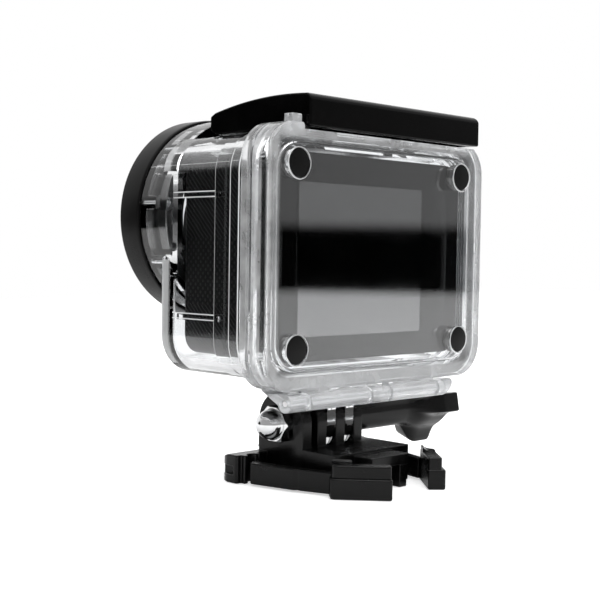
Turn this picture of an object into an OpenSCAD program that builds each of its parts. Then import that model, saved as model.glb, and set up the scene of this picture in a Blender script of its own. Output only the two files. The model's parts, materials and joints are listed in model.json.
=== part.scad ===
// Action camera in a clear dive housing, on a quick-release buckle.
// X is to the right seen from the lens side, +Y is the door side, +Z is up.
// The origin is on the buckle's underside, straight below the tilt pivot.

/* [Mount] */
// Height of the tilt pivot above the buckle's underside
pivot_z = 13.8; // [13.5:0.1:15]
// Outer radius of the mounting fingers
finger_r = 7.5; // [7:0.1:7.6]
// Distance between neighbouring fingers
finger_pitch = 3.1; // [3.05:0.01:3.2]
// Thickness of one finger
finger_t = 3.0; // [2.8:0.05:3]
// Bore for the thumb screw
pivot_bore_d = 5.0; // [4.9:0.05:5.2]

/* [Housing] */
// Width of the shell body
shell_w = 70; // [69:0.5:71]
// Height of the shell body
shell_h = 54.4; // [54:0.1:55]
// Height of the shell's centre above the pivot
shell_up = 39; // [38.8:0.1:40]
// Front face of the shell
shell_front = -17.5; // [-18:0.1:-17]
// Rear face of the shell's flange
flange_back = 14.4; // [14:0.1:14.5]
// Wall thickness
wall = 3; // [2.5:0.1:3.2]
// Corner radius of the shell
shell_r = 9; // [7:0.5:10]

/* [Door] */
// Width of the door
door_w = 74; // [73:0.5:75]
// Height of the door
door_h = 57.5; // [57:0.1:58]
// Front face of the door's rim
door_front = 15.2; // [15.1:0.05:15.4]
// Rear face of the door
door_back = 20.4; // [20:0.1:20.6]

/* [Lens port] */
// Sideways place of the lens axis
lens_x = 13.5; // [12:0.5:14.5]
// Height of the lens axis above the pivot
lens_up = 48; // [47:0.5:48.5]
// Outer radius of the port ring
ring_r = 24; // [23:0.5:24.5]
// Number of screws round the port
port_screw_count = 10; // [6:1:12]

/* [Camera] */
// Width of the camera
camera_w = 61; // [58:0.5:61.5]
// Height of the camera
camera_h = 45.6; // [44:0.2:46]
// Front face of the camera
camera_front = -12.6; // [-12.8:0.1:-12.4]
// Rear face of the camera
camera_back_y = 16.5; // [16.3:0.1:16.6]

/* [Latch] */
// Left end of the latch cap
latch_left = -33.3; // [-34:0.1:-32]
// Right end of the latch cap
latch_right = 26; // [25:0.5:27]
// Top of the latch cap above the pivot
latch_top_up = 74.2; // [74:0.1:74.5]

/* [Hidden] */
$fn = 64;
eps = 0.05;
run_gap = 0.05;
shell_z = pivot_z + shell_up;
shell_top = shell_z + shell_h / 2;
shell_bottom = shell_z - shell_h / 2;
shell_back = 11.8;
door_r = 8;
door_top = shell_z + door_h / 2;
door_bottom = shell_z - door_h / 2;
door_window = 2.5;
// Tray in the door's front that the camera's back reaches into
tray_w = 66;
tray_h = 49.5;
cavity_w = shell_w - 2 * wall;
cavity_h = shell_h - 2 * wall;
lens_z = pivot_z + lens_up;

// Feet of the camera's side rails
rail_z = [pivot_z + 24.4, pivot_z + 52];

// Port, front to back
port_front = -30.3;
ring_back = -22.8;
flange_r = 23.5;
port_clear_r = 17.5;
baffle_r = 17.3;
baffle_bore = 16.3;
glass_r = 19.3;
glass_front = -26.8;
glass_back = -24.6;
port_screw_circle = 21;
port_screw_phase = -0.22;
port_screw_r = 0.8;
insert_r = 1.5;

// Door hinge
hinge_y = 20;
hinge_z = pivot_z + 8;
hinge_pin_r = 0.8;
knuckle_r = 2;
door_knuckles = [[5.2, 24.6], [-18.6, -1.9]];
shell_knuckles = [[25, 31], [-1.5, 4.8], [-25, -19]];
pin_left = -21;

// Latch
latch_top = pivot_z + latch_top_up;
latch_pin_y = -8.5;
latch_pin_z = shell_top + 3.3;
latch_nose_r = 2.8;
latch_front = -11;
latch_rear = 21.6;
latch_skirt_bottom = shell_top + 0.6;
latch_wall = 2;
arm_left = 4;
arm_cheek = 4.5;
latch_pin_r = 0.8;

// Plungers, [x, y or z] on the housing
stem_r = 1.5;
clip_t = 0.5;
clip_bore = 1;
seat = 1.4;
spring_h = 3.2;
button_up = 0.35;
top_plunger = [-18, -5];
front_plunger = [-19, pivot_z + 31];
cap_r = 4;
boss_r = 6;

// Camera
camera_z = pivot_z + 39;
camera_top = camera_z + camera_h / 2;
camera_bottom = camera_z - camera_h / 2;
case_wall = 2;
case_back = 13.5;
screw_x = 25.5;
screw_z = 18.6;
// Display, a little to one side of the middle of the camera's back
display_w = 41.2;
display_h = 33.6;
display_x = 4.6;
display_z = camera_z - 0.5;
display_gap = 0.1;
// The camera's own lens sits a little below the port's axis
lens_drop = 1.4;

// Outer faces of the two caps, and inner faces of their clips
top_cap = shell_top + 5.5;
front_cap = 5.5 - shell_front;
front_wall = 2.8;
top_clip = shell_top - wall - 0.1 - clip_t;
front_clip = -shell_front - front_wall - 0.1 - clip_t;

// Corner pads
pad_x = 28;
pad_r = 3.2;
pad_z = [pivot_z + 19.3, pivot_z + 59];

// Thumb screw, along X
plate_in = 9.7;
plate_out = plate_in + finger_t;
nut_t = 4;
nut_flats = 8;
nut_sink = 1.4;
bolt_r = pivot_bore_d / 2 - run_gap;
knob_in = -3.5 * finger_pitch + 2.95;
knob_stem_r = 4.2;
knob_flare = -30;
knob_end = -43.6;
knob_r = 9.6;
lobe_half = 2.6;
lobe_angles = [-80, 40, 160];

// Buckle
body_half = plate_out;
body_front = -7.4;
body_rear = 18;
body_top = pivot_z - 5.3;
nose_top = 6.6;
tongue_z = [5.3, 7.8];
arm_pivot = [18.2, -3];
arm_z = [0.4, 5.3];
tab_top = 7.4;

// ---- shared shapes ----

// Flat rectangle with round corners
module round_rect(w, h, r) {
  square([w - 2 * r, h], center = true);
  square([w, h - 2 * r], center = true);
  for (sx = [-1, 1], sz = [-1, 1])
    translate([sx * (w / 2 - r), sz * (h / 2 - r)]) circle(r);
}

// Rounded slab standing in the XZ plane, from y0 to y1
module slab(w, h, r, y0, y1, z = shell_z) {
  translate([0, y1, z]) rotate([90, 0, 0])
    linear_extrude(y1 - y0) round_rect(w, h, r);
}

// Box given by its two corners
module span(a, b) {
  translate(a) cube([b[0] - a[0], b[1] - a[1], b[2] - a[2]]);
}

// Cylinders along X, along Y and along Z
module rod_x(r, x0, x1, y, z) {
  translate([x0, y, z]) rotate([0, 90, 0]) cylinder(r = r, h = x1 - x0);
}
module rod_y(r, y0, y1, x, z) {
  translate([x, y1, z]) rotate([90, 0, 0]) cylinder(r = r, h = y1 - y0);
}
module rod_z(r, z0, z1, x, y) {
  translate([x, y, z0]) cylinder(r = r, h = z1 - z0);
}

// Rings along Y and Z
module ring_y(r, bore, y0, y1, x, z) {
  difference() {
    rod_y(r, y0, y1, x, z);
    rod_y(bore, y0 - 1, y1 + 1, x, z);
  }
}
module ring_z(r, bore, z0, z1, x, y) {
  difference() {
    rod_z(r, z0, z1, x, y);
    rod_z(bore, z0 - 1, z1 + 1, x, y);
  }
}

// Places its children at each screw round the port
module round_the_port() {
  for (i = [0 : port_screw_count - 1])
    translate([lens_x, 0, lens_z]) rotate([0, 360 * (i + port_screw_phase) / port_screw_count, 0])
      translate([port_screw_circle, 0, 0]) children();
}

// ---- quick-release buckle ----

module finger(x, z_foot) {
  rod_x(finger_r, x - finger_t / 2, x + finger_t / 2, 0, pivot_z);
  span([x - finger_t / 2, -finger_r, z_foot], [x + finger_t / 2, finger_r, pivot_z]);
}

// Front half of the buckle: the plan outline, with a top that falls away to the front
module nose() {
  intersection() {
    linear_extrude(nose_top) nose_outline();
    translate([-24, 0, 0]) rotate([90, 0, 90]) linear_extrude(48)
      polygon([[-21, -1], [-21, 3], [-17, 4], [-11, 5.6], [-7.6, nose_top], [-4, nose_top], [-4, -1]]);
  }
}

module nose_outline() {
  polygon([[-21.6, -9.5], [-11.4, -19.4], [-9, -20.2], [9, -20.2], [11.4, -19.4], [21.6, -9.5],
           [22.4, -7.7], [22.4, -4.7], [22, -4.3], [-22, -4.3], [-22.4, -4.7], [-22.4, -7.7]]);
}

module buckle_base() color([0.06, 0.06, 0.065]) {
  slot_r = finger_r + 0.7;
  difference() {
    union() {
      nose();
      // Body that carries the prongs
      span([-body_half, body_front, 0], [body_half, body_rear, body_top]);
      // Rear tongue and its two feet
      span([-6.5, body_rear, tongue_z[0]], [6.5, 23.3, tongue_z[1]]);
      for (x = [-6.2, 3.6]) span([x, body_rear, 0], [x + 2.6, 23, tongue_z[0]]);
      for (sx = [-1, 1]) span([sx > 0 ? 16 : -21, -4.3, 0], [sx > 0 ? 21 : -16, -3, nose_top]);
      // Outer plate that holds the nut, and the spacer beside it
      rod_x(finger_r, plate_in, plate_out, 0, pivot_z);
      span([plate_in, -finger_r, body_top - 1], [plate_out, finger_r, pivot_z]);
      rod_x(4.5, 2 * finger_pitch + finger_t / 2, plate_in, 0, pivot_z);
      for (k = [-2, 2]) finger(k * finger_pitch, body_top - 1);
    }
    // Slots that the housing's fingers turn in
    rod_x(slot_r, -1.5 * finger_pitch + 0.05, 1.5 * finger_pitch - 0.05, 0, pivot_z);
    rod_x(pivot_bore_d / 2, -20, 20, 0, pivot_z);
    // Pocket for the nut
    translate([plate_out - nut_sink, 0, pivot_z]) rotate([0, 90, 0])
      cylinder(r = nut_flats / 2 / cos(30) + 0.05, h = 3, $fn = 6);
    for (sx = [-1, 1]) {
      translate([sx * arm_pivot[0], arm_pivot[1], -1]) cylinder(r = 1.65, h = nose_top + 2);
      // Guide groove on each side of the nose
      span([sx > 0 ? 20.5 : -24, -24, 2], [sx > 0 ? 24 : -20.5, -5.6, 4]);
    }
  }
  difference() {
    finger(0, body_top - 1);
    rod_x(pivot_bore_d / 2, -20, 20, 0, pivot_z);
  }
  span([-finger_t / 2, -finger_r, 3], [finger_t / 2, finger_r, body_top - 1]);
}

// Spring arm with its pinch tab, on the +X side
module buckle_arm() {
  arm_h = arm_z[1] - arm_z[0];
  translate([0, 0, arm_z[0]]) {
    linear_extrude(arm_h)
      polygon([[17.2, -2.6], [19.4, -2.6], [21.4, -0.7], [18.9, 11], [18.2, 11.3], [18.2, 12.4],
               [15.9, 19.2], [15.4, 20.6], [13.6, 20.2], [15.8, 11.6], [18.2, 0.2]]);
    translate(arm_pivot) cylinder(r = 1.6, h = arm_h);
  }
  // Pinch tab: a thick foot, a thinner upper part and a horn that sweeps up beside the arm
  linear_extrude(4.6)
    polygon([[18.2, 21.6], [17.8, 22.6], [9.9, 31.5], [9.2, 31.8], [6.3, 29.2], [14.9, 19.6],
             [16, 19.1]]);
  translate([0, 0, 4.5]) linear_extrude(tab_top - 4.5)
    polygon([[17.1, 21.1], [17, 22.2], [9.4, 30.8], [8.6, 31], [6.5, 29.1], [14.9, 19.7],
             [15.8, 19.4]]);
  difference() {
    translate([0, 0, tab_top - 0.1]) linear_extrude(1)
      polygon([[17, 21.1], [16.9, 22.1], [14.6, 24.7], [12.4, 22.6], [15, 19.8], [15.7, 19.5]]);
    translate([13.6, 24.2, tab_top + 2.5]) rotate([0, 0, -42.5]) rotate([0, 90, 0])
      translate([0, 0, -6]) cylinder(r = 2.5, h = 12);
  }
}
module buckle_arm_right() color([0.07, 0.07, 0.075]) buckle_arm();
module buckle_arm_left() color([0.07, 0.07, 0.075]) mirror([1, 0, 0]) buckle_arm();

module acorn_nut() color([0.75, 0.75, 0.77]) translate([plate_out - nut_sink, 0, pivot_z])
  difference() {
    union() {
      rotate([0, 90, 0]) cylinder(r = nut_flats / 2 / cos(30), h = nut_t, $fn = 6);
      rod_x(3.7, nut_t, nut_t + 0.6, 0, 0);
      translate([nut_t + 0.6, 0, 0]) intersection() {
        sphere(3.5);
        span([0, -4, -4], [4, 4, 4]);
      }
    }
    rod_x(pivot_bore_d / 2, -1, nut_t + 1, 0, 0);
  }

module thumb_bolt() color([0.6, 0.6, 0.62])
  rod_x(bolt_r, knob_in - 12, plate_out - nut_sink + nut_t, 0, pivot_z);

module thumb_knob() color([0.06, 0.06, 0.065]) difference() {
  union() {
    rod_x(4.9, knob_in - 3, knob_in, 0, pivot_z);
    rod_x(knob_stem_r, knob_flare, knob_in - 3, 0, pivot_z);
    // Flare that widens into three lobes
    translate([knob_flare, 0, pivot_z]) rotate([0, -90, 0]) rotate_extrude()
      polygon([[0, -1], [knob_stem_r, -1], [4.5, 2], [5.2, 5], [5.6, 8], [5.6, knob_flare - knob_end],
               [0, knob_flare - knob_end]]);
    for (a = lobe_angles) translate([0, 0, pivot_z]) rotate([a, 0, 0])
      translate([0, lobe_half, 0]) rotate([90, 0, 0]) linear_extrude(2 * lobe_half)
        polygon([[knob_end, 0], [knob_end, knob_r], [knob_flare - 7, knob_r],
                 [knob_flare - 4.6, 8.2], [knob_flare - 2.6, 6], [knob_flare - 1, 4.4],
                 [knob_flare - 1, 0]]);
  }
  rod_x(bolt_r, knob_in - 12, knob_in + 1, 0, pivot_z);
}

// ---- dive housing ----

// Room that the closed latch needs above the top edges of the flange and the door
module under_latch(y0, y1) {
  span([latch_left - 0.6, y0, shell_top], [latch_right + 0.5, y1, door_top + 1]);
}

module shell_cavity() {
  slab(cavity_w, cavity_h, shell_r - wall, shell_front + front_wall, shell_back + 0.1);
  slab(tray_w, tray_h, 6, shell_back, flange_back + 1);
}

module housing_shell() color([0.85, 0.9, 0.93, 0.35]) difference() {
  union() {
    slab(shell_w, shell_h, shell_r, shell_front, 2);
    slab(shell_w + 1, shell_h, shell_r, 1.8, shell_back);
    slab(shell_w + 2, shell_h + 1, shell_r, 7.2, shell_back);
    slab(door_w, door_h, door_r, shell_back, flange_back);
    // Port flange
    rod_y(flange_r, ring_back, -13, lens_x, lens_z);
    // Mounting fingers
    for (k = [-1, 1]) {
      finger(k * finger_pitch, pivot_z - 0.1);
      span([k * finger_pitch - finger_t / 2, -finger_r, pivot_z],
           [k * finger_pitch + finger_t / 2, finger_r, shell_bottom + 1]);
    }
    // Hinge knuckles and their arms
    for (k = shell_knuckles) {
      rod_x(knuckle_r, k[0], k[1], hinge_y, hinge_z);
      translate([k[0], 0, 0]) rotate([90, 0, 90]) linear_extrude(k[1] - k[0])
        polygon([[shell_back + 1, door_bottom + 1], [shell_back + 1, door_bottom - 0.1],
                 [hinge_y - 1.95, hinge_z - 0.5], [hinge_y, hinge_z + 1],
                 [flange_back, door_bottom - 0.5], [flange_back, door_bottom + 1]]);
    }
    // Plunger bosses
    rod_z(boss_r, shell_top - 1, shell_top + 1.6, top_plunger[0], top_plunger[1]);
    rod_y(boss_r, shell_front - 1.6, shell_front + 1, front_plunger[0], front_plunger[1]);
  }
  difference() {
    shell_cavity();
    // Rails that the camera slides in on
    for (sx = [-1, 1], z = rail_z)
      span([sx > 0 ? camera_w / 2 + 0.2 : -cavity_w / 2 - 1, shell_front, z],
           [sx > 0 ? cavity_w / 2 + 1 : -camera_w / 2 - 0.2, 1.8, z + 1.3]);
  }
  under_latch(shell_back - 0.1, flange_back + 1);
  rod_y(port_clear_r, ring_back - 1, -12, lens_x, lens_z);
  round_the_port() rod_y(insert_r, ring_back - 1, shell_front - 0.2, 0, 0);
  rod_x(pivot_bore_d / 2, -20, 20, 0, pivot_z);
  rod_x(hinge_pin_r, pin_left, 40, hinge_y, hinge_z);
  // Sloping outer end of the far knuckle
  translate([0, hinge_y + 3, 0]) rotate([90, 0, 0]) linear_extrude(7)
    polygon([[pin_left, hinge_z - 3], [pin_left - 4.2, hinge_z + 2.2], [-40, hinge_z + 2.2],
             [-40, hinge_z - 3]]);
  // Counterbores and bores for the plungers
  rod_z(cap_r + 0.1, shell_top - seat, shell_top + 3, top_plunger[0], top_plunger[1]);
  rod_z(stem_r + run_gap, shell_top - 6, shell_top + 3, top_plunger[0], top_plunger[1]);
  rod_y(cap_r + 0.1, shell_front - 3, shell_front + seat, front_plunger[0], front_plunger[1]);
  rod_y(stem_r + run_gap, shell_front - 3, shell_front + 5, front_plunger[0], front_plunger[1]);
}

module port_ring() color([0.05, 0.05, 0.055]) difference() {
  rod_y(ring_r, port_front, ring_back, lens_x, lens_z);
  rod_y(port_clear_r, port_front - 1, ring_back + 1, lens_x, lens_z);
  rod_y(glass_r + 0.1, glass_front, ring_back + 1, lens_x, lens_z);
  // Lead-in on the front edge
  translate([lens_x, port_front - 0.01, lens_z]) rotate([-90, 0, 0])
    cylinder(r1 = port_clear_r + 3, r2 = port_clear_r, h = 2);
  round_the_port() {
    rod_y(port_screw_r, port_front - 1, ring_back + 1, 0, 0);
    rod_y(1.6, port_front - 1, port_front + 1.5, 0, 0);
  }
}

module port_glass() color([0.8, 0.85, 0.9, 0.4])
  rod_y(glass_r, glass_front, glass_back, lens_x, lens_z);

module port_seal() color([0.1, 0.1, 0.1])
  ring_y(glass_r, baffle_r, glass_back, ring_back, lens_x, lens_z);

// Black sleeve that keeps stray light out of the port's clear wall
module port_baffle() color([0.03, 0.03, 0.03])
  ring_y(baffle_r, baffle_bore, glass_back + 0.05, -13.6, lens_x, lens_z);

module port_screws() color([0.7, 0.7, 0.72]) round_the_port() difference() {
  union() {
    rod_y(1.5, port_front + 0.3, port_front + 1.5, 0, 0);
    rod_y(port_screw_r, port_front + 1.5, shell_front - 0.6, 0, 0);
  }
  rod_y(0.7, port_front, port_front + 0.9, 0, 0, $fn = 6);
}

module port_inserts() color([0.75, 0.75, 0.77]) round_the_port() difference() {
  rod_y(insert_r, ring_back, shell_front - 0.2, 0, 0);
  rod_y(port_screw_r, ring_back - 1, shell_front - 0.6, 0, 0);
}

// ---- latch ----

module latch_base() color([0.06, 0.06, 0.065]) difference() {
  x0 = arm_left + arm_cheek + 0.3;
  x1 = latch_right - arm_cheek - 0.3;
  union() {
    span([x0, -10.8, shell_top], [x1, 2, shell_top + 0.4]);
    span([x0, latch_pin_y - 0.8, shell_top], [x1, latch_pin_y + 3.5, latch_pin_z]);
    rod_x(1.8, x0, x1, latch_pin_y, latch_pin_z);
  }
  rod_x(latch_pin_r, 0, 30, latch_pin_y, latch_pin_z);
}

module latch_pin() color([0.7, 0.7, 0.72])
  rod_x(latch_pin_r, arm_left + 0.5, latch_right - 0.5, latch_pin_y, latch_pin_z);

// Height of the latch's crowned top at a given y
function crown(y) = latch_top - 0.005 * pow(y - 12.6, 2);
function crown_line(y0, y1, n) = [for (i = [0 : n]) let (y = y0 + (y1 - y0) * i / n) [y, crown(y)]];

// Side outline of the wide rear bar, which ends in a skirt
module latch_side(x0, x1) {
  translate([x0, 0, 0]) rotate([90, 0, 90]) linear_extrude(x1 - x0)
    polygon(concat([[3.6, latch_skirt_bottom]], crown_line(3.6, 20.2, 8),
                   [[21.1, crown(21) - 0.4], [latch_rear, crown(21) - 1.2],
                    [latch_rear, latch_skirt_bottom + 0.4], [latch_rear - 0.4, latch_skirt_bottom]]));
}

module latch_cap() color([0.06, 0.06, 0.065]) difference() {
  union() {
    latch_side(latch_left, latch_right);
    // Arm that reaches forward to the pin and ends in a nearly square nose
    translate([arm_left, 0, 0]) rotate([90, 0, 90]) linear_extrude(latch_right - arm_left)
      polygon(concat([[latch_pin_y, latch_pin_z - latch_nose_r], [4, latch_skirt_bottom]],
                     crown_line(4, latch_front + 1, 8),
                     [[latch_front + 0.3, crown(latch_front) - 0.4], [latch_front, crown(latch_front) - 1.1],
                      [latch_front, latch_pin_z - 1.2], [latch_front + 0.8, latch_pin_z - 2.2]]));
  }
  // Room for the fixed block between the cheeks
  span([arm_left + arm_cheek, -12, shell_top - 1],
       [latch_right - arm_cheek, 1.6, latch_pin_z + 2]);
  // Hollow underside
  span([latch_left + latch_wall, 3.6 + latch_wall, shell_top - 1],
       [latch_right - latch_wall, latch_rear - latch_wall, latch_top - 2.6]);
  rod_x(latch_pin_r + run_gap, arm_left + 0.4, latch_right - 0.4, latch_pin_y, latch_pin_z);
}

// ---- plungers ----

// A push button with its stem pointing along -Z; the cap's face is at z = 0
module plunger(stem_len, clip_z) {
  rotate_extrude() polygon([[0, -3.6], [cap_r, -3.6], [cap_r, -0.6], [cap_r - 0.6, 0], [0, 0]]);
  difference() {
    translate([0, 0, -stem_len]) cylinder(r = stem_r, h = stem_len - 3);
    translate([0, 0, clip_z]) difference() {
      cylinder(r = stem_r + 1, h = clip_t);
      translate([0, 0, -1]) cylinder(r = clip_bore, h = 3);
    }
  }
}

// Coil spring along +Z from z = 0
module coil(r, wire, turns, height) {
  steps = 20;
  sides = 6;
  rings = steps * turns;
  points = [for (i = [0 : rings]) let (a = 360 * i / steps, z = wire + (height - 2 * wire) * i / rings)
            for (k = [0 : sides - 1]) let (b = 360 * k / sides)
            [(r + wire * cos(b)) * cos(a), (r + wire * cos(b)) * sin(a), z + wire * sin(b)]];
  skin = [for (i = [0 : rings - 1], k = [0 : sides - 1])
          [i * sides + k, i * sides + (k + 1) % sides,
           (i + 1) * sides + (k + 1) % sides, (i + 1) * sides + k]];
  ends = [[for (k = [0 : sides - 1]) sides - 1 - k], [for (k = [0 : sides - 1]) rings * sides + k]];
  polyhedron(points, concat(skin, ends), convexity = 8);
}

// Both plungers are drawn along Z, measured outwards from the camera's middle
module on_top() translate([top_plunger[0], top_plunger[1], 0]) children();
module on_front() translate([front_plunger[0], 0, front_plunger[1]]) rotate([90, 0, 0]) children();

module shutter_plunger() color([0.08, 0.08, 0.085])
  on_top() translate([0, 0, top_cap]) plunger(top_cap - camera_top - button_up, top_clip - top_cap);
module shutter_spring() color([0.7, 0.7, 0.72])
  on_top() translate([0, 0, shell_top - seat]) coil(2.9, 0.3, 3, spring_h);
module shutter_seal() color([0.1, 0.1, 0.1])
  on_top() ring_z(2.1, stem_r + run_gap, shell_top - seat, shell_top - seat + 0.8, 0, 0);
module shutter_clip() color([0.6, 0.6, 0.62])
  on_top() ring_z(2.6, clip_bore, top_clip, top_clip + clip_t, 0, 0);

module mode_plunger() color([0.08, 0.08, 0.085])
  on_front() translate([0, 0, front_cap])
    plunger(front_cap + camera_front - button_up, front_clip - front_cap);
module mode_spring() color([0.7, 0.7, 0.72])
  on_front() translate([0, 0, -shell_front - seat]) coil(2.9, 0.3, 3, spring_h);
module mode_seal() color([0.1, 0.1, 0.1])
  on_front() ring_z(2.1, stem_r + run_gap, -shell_front - seat, -shell_front - seat + 0.8, 0, 0);
module mode_clip() color([0.6, 0.6, 0.62])
  on_front() ring_z(2.6, clip_bore, front_clip, front_clip + clip_t, 0, 0);

// ---- door ----

module hinge_pin() color([0.7, 0.7, 0.72])
  rod_x(hinge_pin_r, pin_left, shell_knuckles[0][1], hinge_y, hinge_z);

module door() color([0.85, 0.9, 0.93, 0.35]) difference() {
  union() {
    slab(door_w, door_h, door_r, door_front, door_back);
    for (x = [-pad_x, pad_x], z = pad_z) rod_y(pad_r + 0.6, door_back - 1, door_back + 0.4, x, z);
    for (k = door_knuckles) {
      rod_x(knuckle_r, k[0], k[1], hinge_y, hinge_z);
      span([k[0], hinge_y - 1.6, hinge_z], [k[1], door_back, door_bottom + 1]);
    }
    // Finger tab beside the latch
    span([26.6, 17.1, door_top - 2], [29.5, 19.7, pivot_z + 69.4]);
  }
  difference() {
    slab(tray_w, tray_h, 6, door_front - 1, door_back - door_window);
    // Sockets of the corner pads
    for (x = [-pad_x, pad_x], z = pad_z)
      rod_y(pad_r + 0.6, camera_back_y + 0.3, door_back, x, z);
  }
  seal_ring(door_front - 1);
  under_latch(door_front - 1, door_back + 1);
  rod_x(hinge_pin_r + run_gap, -40, 40, hinge_y, hinge_z);
  for (x = [-pad_x, pad_x], z = pad_z)
    rod_y(pad_r, camera_back_y, door_back + 1, x, z);
}

// Seal from y0 back to the bottom of its groove in the door
module seal_ring(y0) {
  difference() {
    slab(door_w - 1.2, door_h - 1.2, door_r - 0.6, y0, door_front + 0.7);
    slab(tray_w + 2, tray_h + 2, 7, y0 - 1, door_front + 2);
    span([-40, y0 - 1, shell_top - 0.6], [40, door_back, door_top + 1]);
  }
}

module door_seal() color([0.25, 0.27, 0.28]) seal_ring(flange_back + 0.1);

module corner_pads() color([0.03, 0.03, 0.03])
  for (x = [-pad_x, pad_x], z = pad_z)
    rod_y(pad_r, camera_back_y + 0.1, door_back + 0.2, x, z);

// ---- camera ----

module camera_case() color([0.2, 0.2, 0.21]) {
  difference() {
    slab(camera_w, camera_h, 4, camera_front, case_back, camera_z);
    slab(camera_w - 2 * case_wall, camera_h - 2 * case_wall, 2.5, camera_front + case_wall,
         case_back + 1, camera_z);
    rod_y(11, camera_front - 1, camera_front + 4, lens_x, lens_z - lens_drop);
    rod_z(4.6, camera_top - 3, camera_top + 1, top_plunger[0], top_plunger[1]);
    rod_y(3.6, camera_front - 1, camera_front + 3, front_plunger[0], front_plunger[1]);
    // Openings for the battery door and the port door
    span([-20, -9, camera_bottom - 1], [10, 9, camera_bottom + 3]);
    span([-camera_w / 2 - 1, -7, camera_z - 14], [-camera_w / 2 + 3, 8, camera_z + 12]);
  }
  // Posts for the back's screws, joined to the side walls
  difference() {
    for (sx = [-1, 1], sz = [-1, 1]) {
      rod_y(1.5, 8, case_back, sx * screw_x, camera_z + sz * screw_z);
      span([sx > 0 ? screw_x : -camera_w / 2 + 1, 8, camera_z + sz * screw_z - 0.8],
           [sx > 0 ? camera_w / 2 - 1 : -screw_x, case_back, camera_z + sz * screw_z + 0.8]);
    }
    camera_screw_bores();
  }
}

module camera_back() color([0.04, 0.04, 0.045]) difference() {
  slab(camera_w, camera_h, 4, case_back, camera_back_y, camera_z);
  slab(52, 39.6, 2, camera_back_y - 1, camera_back_y + 1, camera_z);
  display_slab(display_gap, case_back - 1, camera_back_y);
  camera_screw_bores();
}

module camera_screw_bores() {
  for (sx = [-1, 1], sz = [-1, 1])
    rod_y(0.7, case_back - 4, camera_back_y - 1.8, sx * screw_x, camera_z + sz * screw_z);
}

module camera_screws() color([0.3, 0.3, 0.32]) camera_screw_bores();

module camera_front_plate() color([0.12, 0.12, 0.13]) difference() {
  slab(camera_w - 4, camera_h - 4, 3, camera_front - 0.6, camera_front, camera_z);
  rod_y(12.5, camera_front - 2, camera_front + 1, lens_x, lens_z - lens_drop);
  rod_y(3.6, camera_front - 2, camera_front + 1, front_plunger[0], front_plunger[1]);
}

module display_slab(grow, y0, y1)
  translate([display_x, 0, 0]) slab(display_w + 2 * grow, display_h + 2 * grow, 1, y0, y1, display_z);

module screen_glass() color([0.02, 0.02, 0.025])
  slab(51.8, 39.4, 1.9, camera_back_y - 1, camera_back_y, camera_z);
module display_panel() color([0.1, 0.1, 0.12])
  display_slab(0, case_back + 0.2, camera_back_y - 1);

module lens_barrel() color([0.05, 0.05, 0.055]) difference() {
  union() {
    rod_y(11, camera_front, -1, lens_x, lens_z - lens_drop);
    rod_y(12.3, -18.5, camera_front, lens_x, lens_z - lens_drop);
  }
  rod_y(8, camera_front + 2, 0, lens_x, lens_z - lens_drop);
  rod_y(6, -19, camera_front + 3, lens_x, lens_z - lens_drop);
  rod_y(10.5, -19, -17.5, lens_x, lens_z - lens_drop);
  rod_y(8.5, -18, -15.5, lens_x, lens_z - lens_drop);
}

module lens_window() color([0.3, 0.35, 0.4, 0.5])
  rod_y(10.5, -18.4, -17.5, lens_x, lens_z - lens_drop);

module lens_front_element() color([0.2, 0.25, 0.4, 0.5])
  translate([lens_x, -15.5, lens_z - lens_drop]) rotate([90, 0, 0]) rotate_extrude()
    polygon([[0, 0], [8.4, 0], [8.4, 0.5], [6.5, 1.1], [3.5, 1.6], [0, 1.8]]);

module lens_rear_element() color([0.3, 0.35, 0.4, 0.5])
  rod_y(8, -8, -5, lens_x, lens_z - lens_drop);

module image_sensor() color([0.1, 0.15, 0.1])
  span([lens_x - 5, -1, lens_z - 5.4], [lens_x + 5, 0, lens_z + 2.6]);
module sensor_board() color([0.05, 0.3, 0.15])
  span([lens_x - 9, 0, lens_z - 10.4], [lens_x + 9, 1, lens_z + 7.6]);
module heat_sink() color([0.7, 0.7, 0.72])
  span([lens_x - 9, 1, lens_z - 10.4], [lens_x + 9, 2, lens_z + 7.6]);
module main_board() color([0.05, 0.3, 0.15])
  span([-23.8, 9.6, camera_z - 19], [23.8, 10.8, camera_z + 19]);
module battery() color([0.15, 0.15, 0.16])
  span([-19.8, -8.8, camera_bottom + 2.2], [9.8, 8.8, camera_bottom + 18.6]);
module battery_door() color([0.16, 0.16, 0.17])
  span([-19.9, -8.9, camera_bottom], [9.9, 8.9, camera_bottom + 1.8]);
module port_door() color([0.16, 0.16, 0.17])
  span([-camera_w / 2, -6.9, camera_z - 13.9], [-camera_w / 2 + 1.8, 7.9, camera_z + 11.9]);
module memory_card() color([0.1, 0.1, 0.1])
  span([12, 8.6, camera_bottom + 6], [23, 9.6, camera_bottom + 17]);
module speaker() color([0.3, 0.3, 0.3])
  rod_z(5, camera_bottom + case_wall, camera_bottom + case_wall + 2.5, 19, 0);

module shutter_button() color([0.5, 0.1, 0.1]) on_top() {
  rod_z(4.5, camera_top - 2, camera_top + 0.25, 0, 0);
  rod_z(5.2, camera_top - 2.7, camera_top - 2, 0, 0);
}
module mode_button() color([0.4, 0.4, 0.42]) on_front() {
  rod_z(3.5, -camera_front - 2, -camera_front + 0.25, 0, 0);
  rod_z(4.2, -camera_front - 2.7, -camera_front - 2, 0, 0);
}

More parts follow.
